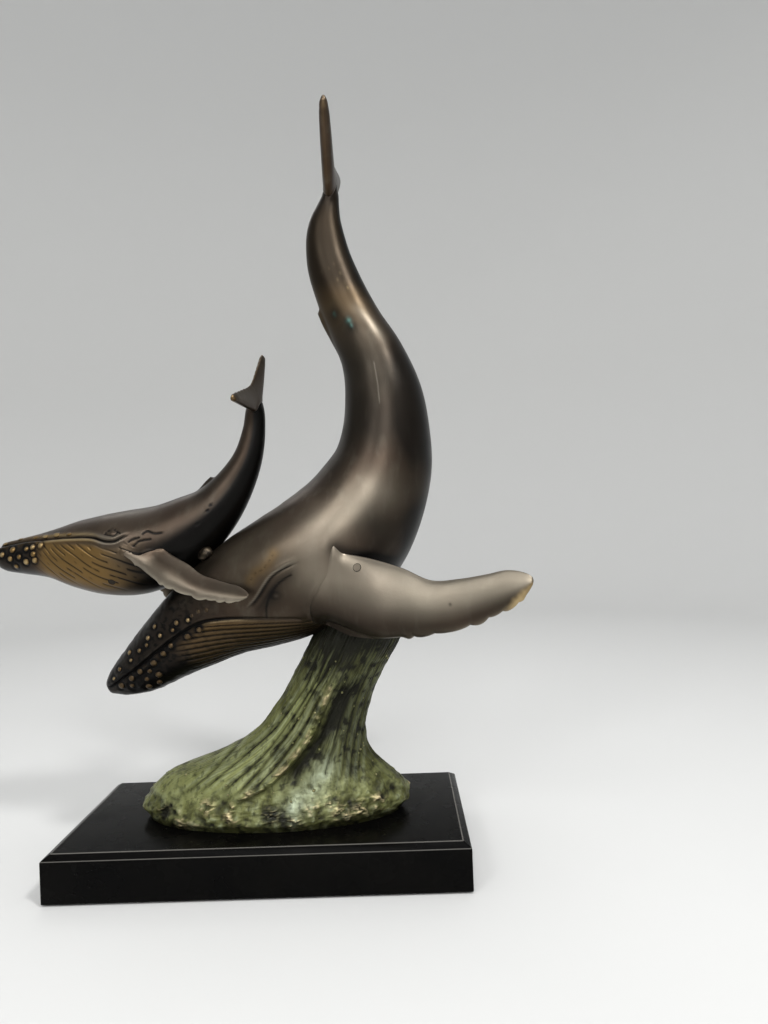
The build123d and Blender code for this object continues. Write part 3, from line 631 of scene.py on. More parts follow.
def flipper_place(u, v, body_tree, root, along, trail, root_trail, inward, blade):
    """Places a flipper's skin. Near its root it sinks into the flank, so that it flows out of the body."""
    along, trail, face = axes(along, trail)
    root_trail = unit(root_trail)
    length, half_chord, half_thickness, knobs, knob_height, knob_start, collar, ridge, brass, rim, slim, thorn = blade
    shape = np.array(FLIPPER_SHAPE)
    share = FLIPPER_START + (1 - FLIPPER_START) * u
    rise, chord, thick, drawn = through(shape[:, 0], shape[:, 1:], share).T
    cos, sin = np.cos(2 * math.pi * v), np.sin(2 * math.pi * v)
    ends = np.where((u < 1 - LAST) | (u > LAST), 0, 1)
    low, high = np.clip(-cos, 0, 1), np.clip(cos, 0, 1)
    beat = np.clip((share - knob_start) / (0.97 - knob_start), 0, 1)
    uneven = knobs * beat + 0.4 * np.sin(8 * beat)
    size = (0.7 + 0.3 * np.sin(2.4 * np.floor(uneven) + 1.0)) * between(0, 0.1, 0.97, 1.0, beat)
    scallop = np.sin(math.pi * (uneven % 1)) ** 0.7 * size * low ** 6
    narrow = 1 - slim * hump(share - 0.24, 0.26) * (high > 0)
    across = (rise + chord * cos * narrow * ends) * half_chord - knob_height * scallop * ends
    across += thorn * hump(share - THORN_SHARE, 0.028) * high ** 6
    out = half_thickness * (thick * sin * (1 - 0.42 * cos) * ends - inward * drawn)
    twist = (1 - ease(-0.05, 0.38, share))[:, None]
    chord_way = trail * (1 - twist) + root_trail * twist
    points = root + share[:, None] * length * along + across[:, None] * chord_way + out[:, None] * face
    points *= MM
    leading = ease(0.4, 0.9, -cos)
    for i in np.flatnonzero(share < ROOT_SHARE):
        spot, normal = body_tree.find_nearest(Vector(points[i]))[:2]
        outer = sin[i] * inward > -0.05
        stand = collar * ease(0.04, 0.085, share[i]) * ease(0.35, 0.9, cos[i])
        stand += ridge * ease(-0.15, 0.05, share[i]) * leading[i]
        sink = 3.0 * (1 - ease(-0.18, 0.03, share[i])) * (1 - 0.5 * leading[i] * (ridge > 0))
        proud = stand - sink + 0.3 if outer else -2.0
        hold = 1 - ease(-0.14, ROOT_SHARE if outer else 0.16, share[i])
        points[i] += hold * (np.array(spot + normal * proud * MM) - points[i])
    edge = low ** 12 * ease(0.1, 0.4, share)
    band = low ** 1.6 * ease(-0.12, 0.1, share)
    patchy = solid_noise(*(90 * points).T, 0.8, 3)
    tip = ease(0.88, 0.97, share + 0.12 * low - 0.09 + 0.02 * patchy)
    # On the mother's flippers the upper face is painted pale as its sheen, and painted shade darkens the lower half,
    # the back edge and the root; the pit is a real pit.
    upper = ease(-0.75, 0.1, cos)
    root_shade = (1 - ease(0.0, 0.30, share)) * ease(-0.55, 0.35, -cos)
    back_edge_shade = ease(0.35, 0.95, cos) * ease(0.12, 0.3, share)
    pit = rings(points[:, 0] / MM, points[:, 2] / MM, [FLIPPER_PIT], 0, 0.9)
    dark = (0.45 * (1 - upper) * (1 - edge) + 0.35 * back_edge_shade) * (1 - tip) + 0.2 * root_shade + 0.8 * pit
    marks = {
        "golden": 0.15 * edge + 0.6 * brass * tip,
        "worn_and_sheen": 0.4 * edge * (brass + rim) + 0.4 * brass * upper * (1 - 0.6 * root_shade) + 0.5 * rim * band,
        "rubbed": brass * tip * (0.3 + 0.5 * patchy),
        "sunk": brass * dark + (1 - brass) * 0.4 * (1 - low) * ease(0.0, 0.25, share),
    }
    return points, marks


MOTHER_CENTRE = np.array((MOTHER_MIDDLE[0], 0.0, MOTHER_MIDDLE[1]))
CALF_CENTRE = np.array((CALF_MIDDLE[0], 0.0, CALF_MIDDLE[1]))
MOTHER_BLADE = Blade(length=147, half_chord=27.5, half_thickness=12, knobs=6, knob_height=2.3, knob_start=0.40,
                     collar=5, brass=1, thorn=8)
CALF_BLADE = Blade(length=88, half_chord=13.5, half_thickness=4.6, knobs=7, knob_height=1.9, knob_start=0.26,
                   collar=1.5, ridge=2.2, rim=1, slim=0.36)
BLADE_GRID, CALF_BLADE_GRID = (260, 96), (220, 80)


def tree_of(piece):
    """A search tree over a piece's faces."""
    mesh = piece.data
    return BVHTree.FromPolygons([v.co for v in mesh.vertices], [p.vertices for p in mesh.polygons])


mother_tree, calf_tree = tree_of(mother_body), tree_of(calf_body)
mother_left = skin(
    "mother_left_flipper_skin", *BLADE_GRID, flipper_place, mother_tree, MOTHER_CENTRE + (-1, -35, -22),
    (0.947, -0.322, 0), (0.12, 0, 1), (0.02, 0.04, 1), 1, MOTHER_BLADE)
mother_right = skin(
    "mother_right_flipper_skin", *BLADE_GRID, flipper_place, mother_tree, MOTHER_CENTRE + (-1, 35, -22),
    (0.62, 0.74, -0.20), (0.25, 0, 1), (0.3, 0, 1), -1, MOTHER_BLADE._replace(thorn=0))
calf_left = skin(
    "calf_left_flipper_skin", *CALF_BLADE_GRID, flipper_place, calf_tree, CALF_CENTRE + (-10.5, -24, -4.5),
    (0.86, -0.30, -0.39), (0.98, 0, 0.20), (1, 0, 0.25), 1, CALF_BLADE)
calf_right = skin(
    "calf_right_flipper_skin", *CALF_BLADE_GRID, flipper_place, calf_tree, CALF_CENTRE + (-14, 24, -8),
    (0.40, 0.32, -0.86), (0.92, 0, 0.40), (1, 0, 0.2), -1, CALF_BLADE._replace(rim=0.15))

# %% [markdown]
# A tail fluke is two swept blades with a notch between them. Reading one half's sections by the distance from
# the middle makes both halves at once and keeps the notch sharp.

# %% Flukes
FLUKE_SHAPE = [(0.00, 0.00, 0.80, 1.00), (0.18, 0.08, 0.84, 0.94), (0.45, 0.36, 0.95, 0.88), (0.72, 0.67, 1.06, 0.80),
               (0.90, 0.88, 1.13, 0.66), (0.97, 0.96, 1.13, 0.50), (1.00, 1.02, 1.10, 0.26)]
Fluke = namedtuple("Fluke", "half_span chord half_thickness gold")


def fluke_place(u, v, root, along, across, fluke):
    """Places a fluke's skin."""
    half_span, chord, half_thickness, gold = fluke
    along, across, face = axes(along, across)
    shape = np.array(FLUKE_SHAPE)
    share = 2 * u - 1
    span = np.abs(share)
    lead, trail, thick = through(shape[:, 0], shape[:, 1:], span).T
    cos, sin = np.cos(2 * math.pi * v), np.sin(2 * math.pi * v)
    ends = np.where(span > LAST, 0, 1)
    ripple = 0.006 * np.sin(46 * share) * np.clip(cos, 0, 1) ** 6 * ease(0.1, 0.3, span)
    reach = ((lead + trail) / 2 + (trail - lead) / 2 * cos * ends + ripple) * chord
    out = thick * half_thickness * sin * (1 - 0.35 * cos) * ends
    points = root + share[:, None] * half_span * across + reach[:, None] * along + out[:, None] * face
    rim = np.abs(cos) ** 10
    tip = ease(0.9, 1.0, span)
    # One face of each fluke, the one turned towards +x, is darker.
    marks = {"golden": 0.15 * rim + gold * tip, "rubbed": 0.7 * gold * rim * tip,
             "sunk": 0.3 * (sin < 0) * (1 - tip)}
    return points * MM, marks


FLUKE_GRID, CALF_FLUKE_GRID = (240, 64), (200, 56)
FLUKE_SEAT = 8.0
CALF_FLUKE_SEAT = 5.0


def tail_end(knots, rows, seat):
    """The point where a fluke starts, seated in the last full section of a tail."""
    points = through(knots, rows[:, :2], [knots[-2], knots[-2] - 1])
    x, z = points[0] - seat * unit(points[0] - points[1])
    return np.array((x, 0.0, z))


mother_fluke = skin(
    "mother_fluke_skin", *FLUKE_GRID, fluke_place, tail_end(mother_knots, mother_rows, FLUKE_SEAT),
    (0.06, 0, 1), (0, 1, 0), Fluke(half_span=60, chord=41.5, half_thickness=4.6, gold=0.1))
calf_fluke = skin(
    "calf_fluke_skin", *CALF_FLUKE_GRID, fluke_place, tail_end(calf_knots, calf_rows, CALF_FLUKE_SEAT) + (2, 0, 2),
    (-0.12, -0.55, 0.82), (0.17, 0.80, 0.59), Fluke(half_span=35.5, chord=25, half_thickness=3.4, gold=0.5))

# %% [markdown]
# Where blade and body meet, the founder runs a weld and chases it smooth. Each skin is raised near the other
# one, most at the joint and fading out within a short reach, which leaves a soft fillet on both.

# %% Fillets
def fillet_lifts(piece, other, reach):
    """How far each vertex is raised by the fillet towards another skin."""
    lifts = np.zeros(len(piece.data.vertices))
    for i, v in enumerate(piece.data.vertices):
        gap = other.find_nearest(v.co, reach)[3]
        if gap is not None:
            lifts[i] = reach / 4 * (1 - gap / reach) ** 2
    return lifts


def weld(body, blade, reach, start, end):
    """Fillets a blade and its body towards each other, and fades out between two places along x."""
    body_tree = tree_of(body)
    points = [v.co.copy() for v in blade.data.vertices]
    found = [body_tree.find_nearest(point)[:2] for point in points]
    height = np.array([(point - spot).dot(normal) / MM for point, (spot, normal) in zip(points, found)])
    seen = [face.vertices for face in blade.data.polygons if all(height[i] > 0 for i in face.vertices)]
    body_lifts = fillet_lifts(body, BVHTree.FromPolygons(points, seen), reach)
    blade_lifts = fillet_lifts(blade, body_tree, reach) * ease(0, 2, height)
    for piece, lifts in ((body, body_lifts), (blade, blade_lifts)):
        places = np.array([v.co.x for v in piece.data.vertices]) / MM
        normals = [v.normal.copy() for v in piece.data.vertices]
        for v, normal, lift in zip(piece.data.vertices, normals, lifts * (1 - ease(start, end, places))):
            v.co += normal * float(lift)
        piece.data.update()
    print("fillet:", body.name, blade.name)


MOTHER_FADE, CALF_FADE, NO_FADE = (42, 54), (-76, -66), (900, 999)
for body, blade, reach, fade in (
        (mother_body, mother_left, 10, MOTHER_FADE), (mother_body, mother_right, 10, MOTHER_FADE),
        (calf_body, calf_left, 2, CALF_FADE), (calf_body, calf_right, 2, CALF_FADE),
        (mother_body, mother_fluke, 4, NO_FADE), (calf_body, calf_fluke, 5, NO_FADE)):
    weld(body, blade, reach * MM, *fade)
for piece in (mother_body, mother_left, mother_right, mother_fluke, calf_body, calf_left, calf_right, calf_fluke):
    dress(piece, piece.name.removesuffix("_skin"), bronze)

# %% [markdown]
# The knobs of a head are small domes set on the finished skin. A ray from the side finds the skin and its
# direction there, and a flattened ball is laid on it, sunk by part of its radius.

# %% Domes on a skin
RAY_START = 0.3
DOME_SINK = 0.15


def on_flank(skin_tree, x, z, far):
    """The point and direction of a flank at a place in the side view."""
    start = Vector((x * MM, RAY_START if far else -RAY_START, z * MM))
    return skin_tree.ray_cast(start, Vector((0, -1 if far else 1, 0)))[:2]


def lay_dome(bm, point, normal, radius, flatness, shine, gold=1.0, stretch=1.0):
    """Lays a flattened ball on a skin, and marks its top as rubbed."""
    turn = normal.to_track_quat("Z", "Y").to_matrix().to_4x4()
    squash = Matrix.Diagonal((stretch, 1, flatness, 1))
    place = Matrix.Translation(point - normal * radius * DOME_SINK) @ turn @ squash
    made = bmesh.ops.create_icosphere(bm, subdivisions=2, radius=radius, matrix=place)
    rubbed, golden, sunk = (bm.verts.layers.float[name] for name in ("rubbed", "golden", "sunk"))
    for v in made["verts"]:
        top = (v.co - point).dot(normal) / (radius * (flatness - DOME_SINK))
        v[rubbed] = shine * max(0.0, min(1.0, 1.5 * top - 0.4))
        v[golden] = gold
        v[sunk] = max(0.5 * (1 - gold), min(1.0, 0.8 - 1.3 * top))


def dome_mesh():
    """An empty bmesh with the bronze's marks."""
    bm = bmesh.new()
    for name in ("rubbed", "golden", "sunk", "worn_and_sheen"):
        bm.verts.layers.float.new(name)
    return bm


def knob_piece(name, body, rows_of_knobs):
    """All the knobs of a head as one piece."""
    body_tree = tree_of(body)
    bm = dome_mesh()
    for places, radius, flatness, shine, gold, stretch in rows_of_knobs:
        for number, (x, z) in enumerate(places):
            size = radius * (0.92 + 0.16 * math.sin(2.1 * number)) * MM
            glow = shine * (0.55 + 0.45 * math.sin(1.7 * number + radius))
            for far in (False, True):
                point, normal = on_flank(body_tree, x, z, far)
                if point is not None:
                    lay_dome(bm, point, normal, size, flatness, glow, gold, stretch)
    dress(settle(name, bm), None, bronze)


knob_piece("mother_knobs", mother_body, [
    (MOTHER_KNOBS_ABOVE, KNOB_RADIUS, 0.60, 0.8, 0.6, 1.0),
    (MOTHER_KNOBS_BELOW, KNOB_RADIUS_BELOW, 0.42, 0.10, 0.4, 1.0),
    (MOTHER_KNOBS_FAINT, KNOB_RADIUS, 0.45, 0.05, 0.2, 1.0)])
knob_piece("calf_knobs", calf_body, [
    (CALF_KNOBS_BELOW, CALF_KNOB_RADIUS, 0.50, 0.75, 1.0, 1.0), (CALF_KNOBS_ABOVE, 2.1, 0.42, 0.8, 1.0, 1.6)])

# %% [markdown]
# The wave is one casting that sweeps up from a broad foot to the mother's belly, and a painted shadow darkens its top
# under the belly.
# Its water runs in long flutes parted by sharp grooves. A crest crosses the front, rubbed to brass, with a carved
# hollow to its right that is painted dark as its shadow.
# Curls of foam at the foot are crumpled folds, raised in the skin by noise, with their tops rubbed too.
# Grooves, crest and hollow are drawn as paths in the side view. Fine strands follow the sweep of the oval levels.

# %% The wave's lines
WAVE_RISE = 185.0
WAVE_LEVELS = [
    (0.00, -88, 95, 42), (0.035, -92, 100, 44.5), (0.08, -91, 100, 42), (0.12, -84, 94, 38),
    (0.17, -71, 83, 34.5), (0.225, -42, 74, 32), (0.30, -14, 71, 30), (0.43, 9, 76, 28),
    (0.57, 25, 88.5, 27.5), (0.68, 36, 100, 28), (0.80, 49, 104, 27), (0.92, 58, 96, 25),
    (1.04, 66, 86, 22),
]
WAVE_CREST = [(-22, 44), (-16, 53), (1, 62), (18, 75), (32, 90), (40, 105), (48, 122), (60, 139), (70, 158)]
WAVE_HOLLOW = [(10, 57), (20, 67), (32, 80), (44, 96), (53, 112), (66, 135)]
WAVE_BASIN = [(20, 47), (28, 53), (36, 60), (43, 72)]
WAVE_GROOVES = [
    [(-75, 47), (-52, 58), (-30, 75), (-10, 96), (8, 120), (22, 148), (34, 180)],
    [(-60, 46), (-33, 65), (-14, 79), (6, 95), (22, 114), (33, 130), (40, 148), (52, 180)],
    [(-45, 46), (-22, 62), (-2, 78), (15, 97), (30, 117), (41, 134), (50, 155)],
    [(-34, 46), (-7, 66), (9, 84), (26, 105), (37, 123), (48, 138), (58, 160)],
    [(-27, 46), (-2, 63), (14, 79), (29, 98), (42, 120)],
    [(52, 50), (55, 66), (58, 85), (66, 112), (78, 140)], [(60, 48), (61, 65), (64, 85), (72, 112), (84, 140)],
    [(69, 48), (67, 62), (68, 80), (75, 105), (88, 135)], [(44, 66), (50, 84), (57, 104), (68, 130)],
]
WAVE_CURLS = [(-38, 49, 4.2), (-56, 36, 4.6), (-21, 43, 3.6), (7, 44, 4.6), (22, 39, 3.8), (48, 50, 3.6), (54, 42, 5.4),
              (67, 43, 4.8), (81, 47, 3.4), (-72, 44, 3.4)]
WAVE_GRID = (250, 390)


# %% The wave's relief
def wave_detail(level, round_x, round_y, x, z):
    """How far the wave's skin is raised, and its marks."""
    front = round_y < 0
    x = np.where(front, x, x + 6 * np.sin(0.04 * z))
    body = ease(0.09, 0.19, level)
    crest, share = from_path(x, z, WAVE_CREST)
    ridge = hump(crest, np.where(crest > 0, 6.0, 2.4)) * between(0, 0.08, 0.72, 0.98, share)
    top = hump(crest - 0.6, 2.1) * (1 - ease(0.66, 0.86, share))
    hollow, hollow_share = from_path(x, z, WAVE_HOLLOW)
    pit = hump(hollow + 1.5, 6.0) * between(0, 0.2, 0.75, 1.0, hollow_share)
    basin = on_path(x, z, WAVE_BASIN, 7.5)
    gaps = np.array([from_path(x, z, path)[0] for path in WAVE_GROOVES])
    nearest = np.min(np.abs(gaps), axis=0)
    calm = 1 - 0.45 * ease(40, 56, x)
    groove = hump(nearest, 0.7) * body * calm
    flute = (1 - hump(nearest, 4.0)) * body * calm
    strands = solid_noise(17 * round_x, 17 * round_y, 3.2 * level, 0.8, 4)
    grain = solid_noise(0.16 * x, 3.2 * round_y, 0.16 * z, 0.9, 5)
    lumps = solid_noise(0.055 * x + 4, 2.4 * round_y, 0.09 * z, 1.0, 4)
    breaks = solid_noise(0.10 * x + 9, 2.0 * round_y, 0.10 * z, 1.0, 3)
    foot = 1 - ease(0.06, 0.16, level)
    line = np.clip(1 - 7 * np.abs(strands), 0, 1) * body
    lift = 4.8 * ridge - 5.2 * pit - 1.5 * basin + 1.1 * flute - 1.0 * groove
    lift += 0.9 * strands * body + 0.45 * grain + foot * (2.4 * lumps + 0.7 * grain)
    # Painted shadow: the top of the wave is darkened as the shadow of the mother's belly.
    high = ease(0.40, 0.74, level + 0.08 * strands - 0.10 * ease(20, 50, -gaps[0]))
    folds = 1 - np.clip(3.2 * np.abs(solid_noise(0.16 * x + 3, 5 * round_y, 0.20 * z, 0.9, 3)), 0, 1)
    curl = np.max([hump(np.hypot(x - cx, (z - cz) * 1.2), size) for cx, cz, size in WAVE_CURLS], axis=0)
    lift += curl * (2.8 * folds - 0.4) + 2.0 * top * (folds - 0.4)
    right = ease(38, 60, x) * ease(0.10, 0.28, level)
    rim = 1 - ease(0.01, 0.065, level + 0.02 * grain)
    left = ease(15, -35, x) * ease(0.06, 0.12, level) * front
    speckle = ease(-0.25, 0.15, solid_noise(0.55 * x, 8 * round_y, 0.55 * z, 0.8, 3))
    marks = {
        "rubbed": (top * ease(-0.2, 0.3, breaks + 0.4 * grain) * (0.3 + 0.7 * folds) * (0.5 + 0.5 * speckle)
                   + 0.6 * foot * ease(0.35, 0.75, lumps + 0.5 * grain) * folds + 0.9 * curl * ease(0.35, 0.85, folds)),
        "golden": (0.55 * left + hump(gaps[1] + 3.0, 2.6) * body + 0.5 * hump(gaps[3] - 3, 2.5) * body
                   + 0.3 * ease(0.1, 0.6, grain)),
        "worn_and_sheen": (0.75 * basin * (0.7 + 0.6 * grain) + 0.3 * foot * ease(0.2, 0.7, grain)
                 + 0.25 * hump(nearest - 2.4, 0.8) * body),
        # The hollow right of the crest is painted nearly black as its shadow, and the right side above the foot is
        # darker.
        "sunk": (0.75 * groove + pit * (1 - top) + 0.35 * line + 0.7 * foot * ease(0.1, 0.6, -lumps)
                 + 0.5 * ease(0.1, 0.6, -grain) + 0.55 * rim + 0.96 * high + 0.7 * curl * (1 - folds) + 0.48 * right),
    }
    return lift, marks


def wave_place(u, v):
    """Places the wave's skin, with rows closer together at the foot."""
    levels = np.array(WAVE_LEVELS)
    level = np.interp(u, [0, 0.02, 0.40, 0.97, 1], [0, 0, 0.2, 1.0, 1.0])
    left, right, half_depth = through(levels[:, 0], levels[:, 1:], level).T
    turn = np.radians(360 * v)
    round_x, round_y = np.cos(turn), np.sin(turn)
    middle, half = (left + right) / 2, (right - left) / 2
    height = PLINTH_TOP + WAVE_RISE * level
    lift, marks = wave_detail(level, round_x, round_y, middle + half * round_x, height)
    shrink = np.interp(u, [0, 0.02, 0.98, 1], [0, 1, 1, 0])
    lift = lift * ease(0, 0.03, level)
    x, y = middle + (half + lift) * round_x * shrink, (half_depth + lift) * round_y * shrink
    return np.stack([x, y, height], 1) * MM, marks


wave = skin("wave_skin", *WAVE_GRID, wave_place)

# %% Green patina
PATINA_DEEP = (0.026, 0.027, 0.009)
PATINA_OLIVE = (0.108, 0.113, 0.038)
PATINA_MINT = (0.22, 0.238, 0.115)
PATINA_YELLOW = (0.195, 0.210, 0.080)
PATINA_MILKY = (0.33, 0.37, 0.26)
CREST_BRASS = (0.62, 0.51, 0.30)
WAVE_SHADOW = (0.010, 0.010, 0.006)
PORE = (0.012, 0.012, 0.006)

green, tree, shader = new_finish("green_patina", specular=0.14)
tree.links.new(scale_to(tree, mark(tree, "rubbed"), 0.25, 0.95), shader.inputs["Metallic"])
stops = [(0.30, PATINA_DEEP), (0.48, PATINA_OLIVE), (0.76, PATINA_MINT)]
colour = paint(tree, ramp(tree, noise(tree, 70, 6, (1, 1, 0.6)), stops), {
    "golden": PATINA_YELLOW, "worn_and_sheen": PATINA_MILKY, "rubbed": CREST_BRASS, "sunk": WAVE_SHADOW})
pores = scale_to(tree, noise(tree, 330, 10, (1, 1, 0.45)), 0.55, 0.0, 0.33, 0.46)
coat(tree, shader, mix(tree, pores, colour, PORE), rough=(140, 4, 0.30, 0.52, 0.3, 0.7), grain=(520, 8, 0.45, 0.0008))
dress(wave, "wave_stand", green)

# %% [markdown]
# Drops of foam cling to the wave. Each is a small dome, laid at a vertex that a seeded draw picks.

# %% Foam
DROPS = 90
DROP_LEVELS = (0.1, 0.62)
DROP_RUFFLE = 0.25
rng = np.random.default_rng(11)
bm = dome_mesh()
levels_of = np.array([(v.co.z / MM - PLINTH_TOP) / WAVE_RISE for v in wave.data.vertices])
pool = np.flatnonzero((levels_of > DROP_LEVELS[0]) & (levels_of < DROP_LEVELS[1]))
for i in rng.choice(pool, DROPS, replace=False):
    v = wave.data.vertices[int(i)]
    shine = float(rng.uniform(0.0, 0.5))
    lay_dome(bm, v.co.copy(), v.normal.copy(), float(rng.uniform(0.5, 1.2)) * MM, 0.8, shine, 0.6)
for v in bm.verts:
    v.co += DROP_RUFFLE * MM * relief.noise_vector(v.co * 240)
dress(settle("wave_foam", bm), None, green)

# %% [markdown]
# The plinth is a lacquered board with a shallow bevel round its top. A cube is set to its box, and its top face
# is extruded and drawn in, which keeps the sizes plain. A small rounding on every edge catches the light, and a thin
# highlight is painted along the top and bottom edges of the bevel.

# %% Plinth
CHAMFER_INSET = 5.2
CHAMFER_DROP = 3.3
EDGE_ROUNDING = 0.7
LACQUER = (0.0012, 0.0012, 0.0012)
LACQUER_WORN = (0.003, 0.0027, 0.0023)
PAINTED_EDGE_HIGHLIGHT = (0.11, 0.105, 0.095)
low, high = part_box("plinth")
bm = bmesh.new()
bmesh.ops.create_cube(bm, size=1.0)
for v in bm.verts:
    v.co = Vector(((low.x, high.x)[v.co.x > 0], (low.y, high.y)[v.co.y > 0],
                   (low.z, high.z - CHAMFER_DROP * MM)[v.co.z > 0]))
top = max(bm.faces, key=lambda f: f.calc_center_median().z)
made = bmesh.ops.extrude_discrete_faces(bm, faces=[top])
for v in made["faces"][0].verts:
    v.co.z = high.z
    v.co.x -= math.copysign(CHAMFER_INSET * MM, v.co.x)
    v.co.y -= math.copysign(CHAMFER_INSET * MM, v.co.y)
bmesh.ops.bevel(bm, geom=bm.edges[:], offset=EDGE_ROUNDING * MM, segments=3, profile=0.5, affect="EDGES", material=-1)
# The edge mark paints a highlight line on the bevel's two edges.
edge = bm.verts.layers.float.new("edge")
for v in bm.verts:
    depth = (high.z - v.co.z) / MM
    v[edge] = 1.0 if 0.002 < depth < 0.25 or abs(depth - CHAMFER_DROP) < 0.2 else 0.0
plinth = settle("plinth_board", bm)

lacquer, tree, shader = new_finish("black_lacquer", specular=0.045)
colour = ramp(tree, noise(tree, 30, 5), [(0.3, LACQUER), (0.75, LACQUER_WORN)])
coat(tree, shader, paint(tree, colour, {"edge": PAINTED_EDGE_HIGHLIGHT}), rough=(45, 6, 0.18, 0.34, 0.3, 0.7),
     grain=(250, 5, 0.04, 0.0004))
dress(plinth, "plinth", lacquer)

# %% [markdown]
# Felt, steel and braze are plain stuff: one cloudy colour each. Pad, bolts, washers and studs keep the CAD shapes.

# %% Felt, steel and braze
def cloudy(name, metallic, scale, stops, rough, grain=None):
    """A finish of one cloudy colour."""
    finish, tree, shader = new_finish(name, metallic)
    coat(tree, shader, ramp(tree, noise(tree, scale, 4), stops), rough, grain)
    return finish


felt = cloudy("felt", 0.0, 1500, [(0.3, (0.012, 0.012, 0.012)), (0.7, (0.05, 0.05, 0.05))], 0.95,
              (2200, 3, 0.5, 0.0004))
zinc = cloudy("zinc_steel", 1.0, 300, [(0.3, (0.42, 0.42, 0.43)), (0.7, (0.58, 0.58, 0.60))], (400, 4, 0.25, 0.45))
braze = cloudy("braze", 0.9, 260, [(0.35, (0.02, 0.016, 0.012)), (0.7, (0.075, 0.058, 0.038))], (300, 4, 0.3, 0.5),
               (500, 3, 0.25, 0.0006))

for node, finish in (("felt_pad", felt), ("stand_bolts", zinc), ("bolt_washers", zinc), ("mother_studs", zinc),
                     ("calf_stud", zinc)):
    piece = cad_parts[node]
    piece.data.materials.clear()
    piece.data.materials.append(finish)

# %% [markdown]
# A casting's core pins leave holes that are filled with plugs and filed flush. Each shows as a small disc in a
# thin dark ring. Two lumps of braze hold the calf to its mother's head: balls pulled out of round by noise.

# %% Plugs and braze
PLUG_RING = 0.4
PLUG_DEPTH = 1.2
PLUG_PROBES = 12


def plug(name, node, body, radius, dark, worn_and_sheen):
    """A flush disc with a dark ring, laid on a skin over the CAD plug."""
    low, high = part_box(node)
    middle = (low + high) / 2 / MM
    body_tree = tree_of(body)
    spots = [(middle.x + radius * math.cos(turn), middle.z + radius * math.sin(turn)) for turn in range(PLUG_PROBES)]
    found = [on_flank(body_tree, x, z, False) for x, z in spots]
    point = sum((spot for spot, normal in found), Vector()) / len(found)
    normal = sum((normal for spot, normal in found), Vector()).normalized()
    bm = dome_mesh()
    turn = normal.to_track_quat("Z", "Y").to_matrix().to_4x4()
    for reach, proud, sunk in ((radius + PLUG_RING, 0.15, 1.0), (radius, 0.3, dark)):
        place = Matrix.Translation(point + normal * (proud - PLUG_DEPTH / 2) * MM) @ turn
        made = bmesh.ops.create_cone(bm, cap_ends=True, segments=40, radius1=reach * MM, radius2=reach * MM,
                                     depth=PLUG_DEPTH * MM, matrix=place)
        for v in made["verts"]:
            v[bm.verts.layers.float["sunk"]] = sunk
            v[bm.verts.layers.float["worn_and_sheen"]] = worn_and_sheen
    piece = settle(name, bm)
    for face in piece.data.polygons:
        face.use_smooth = False
    dress(piece, node, bronze)


plug("flipper_plug_disc", "flipper_plug", mother_left, 2.5, 0.35, 0.3)
plug("throat_plug_disc", "throat_plug", calf_body, 2.2, 0.75, 0.0)

BEAD_SIDE = 13.0
BEAD_RADIUS = 5.6
bm = dome_mesh()
low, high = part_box("braze_beads")
for side in (-BEAD_SIDE, BEAD_SIDE):
    middle = Vector(((low.x + high.x) / 2, side * MM, (low.z + high.z) / 2))
    made = bmesh.ops.create_icosphere(bm, subdivisions=5, radius=BEAD_RADIUS * MM, matrix=Matrix.Translation(middle))
    for v in made["verts"]:
        v.co += (v.co - middle) * 0.3 * relief.fractal(v.co * 130, 1.2, 2.0, 2)
beads = settle("braze_lumps", bm)
dress(beads, "braze_beads", braze)

# %% [markdown]
# The studio is a pale round floor that curves up into a wall, so that every side has the same plain background.
# A broad lamp stands over the camera with a smaller one to its left. A small one high to the right draws the
# streak on the tail, a soft one overhead lights the edges, and one behind keeps the far side from looking dull.

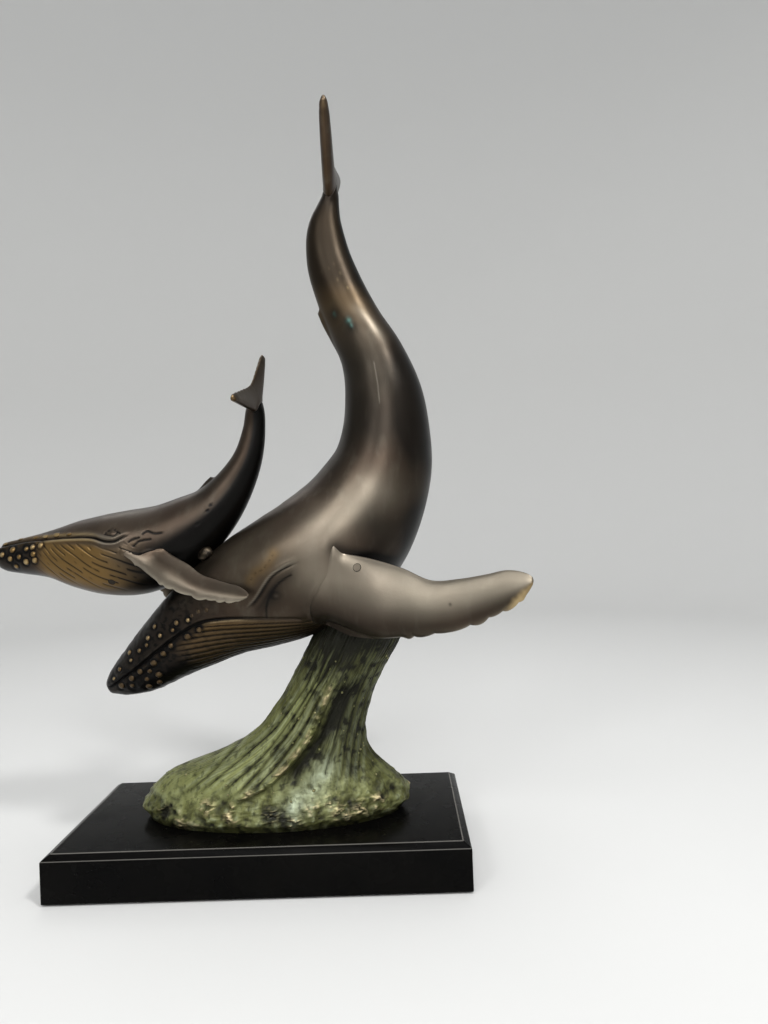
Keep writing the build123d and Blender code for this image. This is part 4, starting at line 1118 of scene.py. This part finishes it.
# %% Studio
def lamp(name, place, target, width, height, power):
    """A soft lamp of a width and a height that faces a target."""
    data = bpy.data.lights.new(name, "AREA")
    data.shape = "RECTANGLE"
    data.size, data.size_y = width, height
    data.energy = power
    piece = bpy.data.objects.new(name, data)
    piece.location = place
    piece.visible_camera = False
    piece.rotation_euler = (Vector(target) - Vector(place)).to_track_quat("-Z", "Y").to_euler()
    scene.collection.objects.link(piece)


MIDDLE, TRUNK = (0.03, 0, 0.26), (0.03, 0, 0.34)
lamp("front", (0.08, -1.40, 1.08), MIDDLE, 0.6, 0.9, 12)
lamp("left", (-0.62, -1.12, 1.14), MIDDLE, 0.4, 0.4, 5)
lamp("tail_highlight", (0.65, -0.72, 1.33), TRUNK, 0.2, 0.2, 12.5)
lamp("top", (0.0, 0.05, 1.75), MIDDLE, 0.9, 0.9, 5)
lamp("back", (-0.55, 0.95, 1.45), MIDDLE, 0.7, 0.7, 3)

FLOOR_RADIUS = 1.3
SWEEP_RADIUS = 0.7
WALL_HEIGHT = 3.6
SWEEP_STEPS = 12
PAPER = (0.62, 0.62, 0.61, 1)
bm = bmesh.new()
profile = [bm.verts.new((0, 0, 0)), bm.verts.new((FLOOR_RADIUS, 0, 0))]
for step in range(1, SWEEP_STEPS + 1):
    turn = step / SWEEP_STEPS * math.pi / 2
    profile.append(bm.verts.new((FLOOR_RADIUS + SWEEP_RADIUS * math.sin(turn), 0, SWEEP_RADIUS * (1 - math.cos(turn)))))
profile.append(bm.verts.new((FLOOR_RADIUS + SWEEP_RADIUS, 0, WALL_HEIGHT)))
outline = [bm.edges.new(pair) for pair in zip(profile, profile[1:])]
bmesh.ops.spin(bm, geom=profile + outline, cent=(0, 0, 0), axis=(0, 0, 1), angle=2 * math.pi, steps=96, use_merge=True)
bmesh.ops.remove_doubles(bm, verts=bm.verts, dist=1e-5)
bmesh.ops.recalc_face_normals(bm, faces=bm.faces)
studio = settle("studio_floor", bm)

paper, tree, shader = new_finish("studio_paper", specular=0.1)
shader.inputs["Base Color"].default_value = PAPER
shader.inputs["Roughness"].default_value = 0.9
studio.data.materials.append(paper)

world = bpy.data.worlds.new("studio_world")
scene.world = world
world.use_nodes = True
sky = world.node_tree.nodes["Background"]
sky.inputs["Color"].default_value = (0.95, 0.97, 1.0, 1)
sky.inputs["Strength"].default_value = 0.9
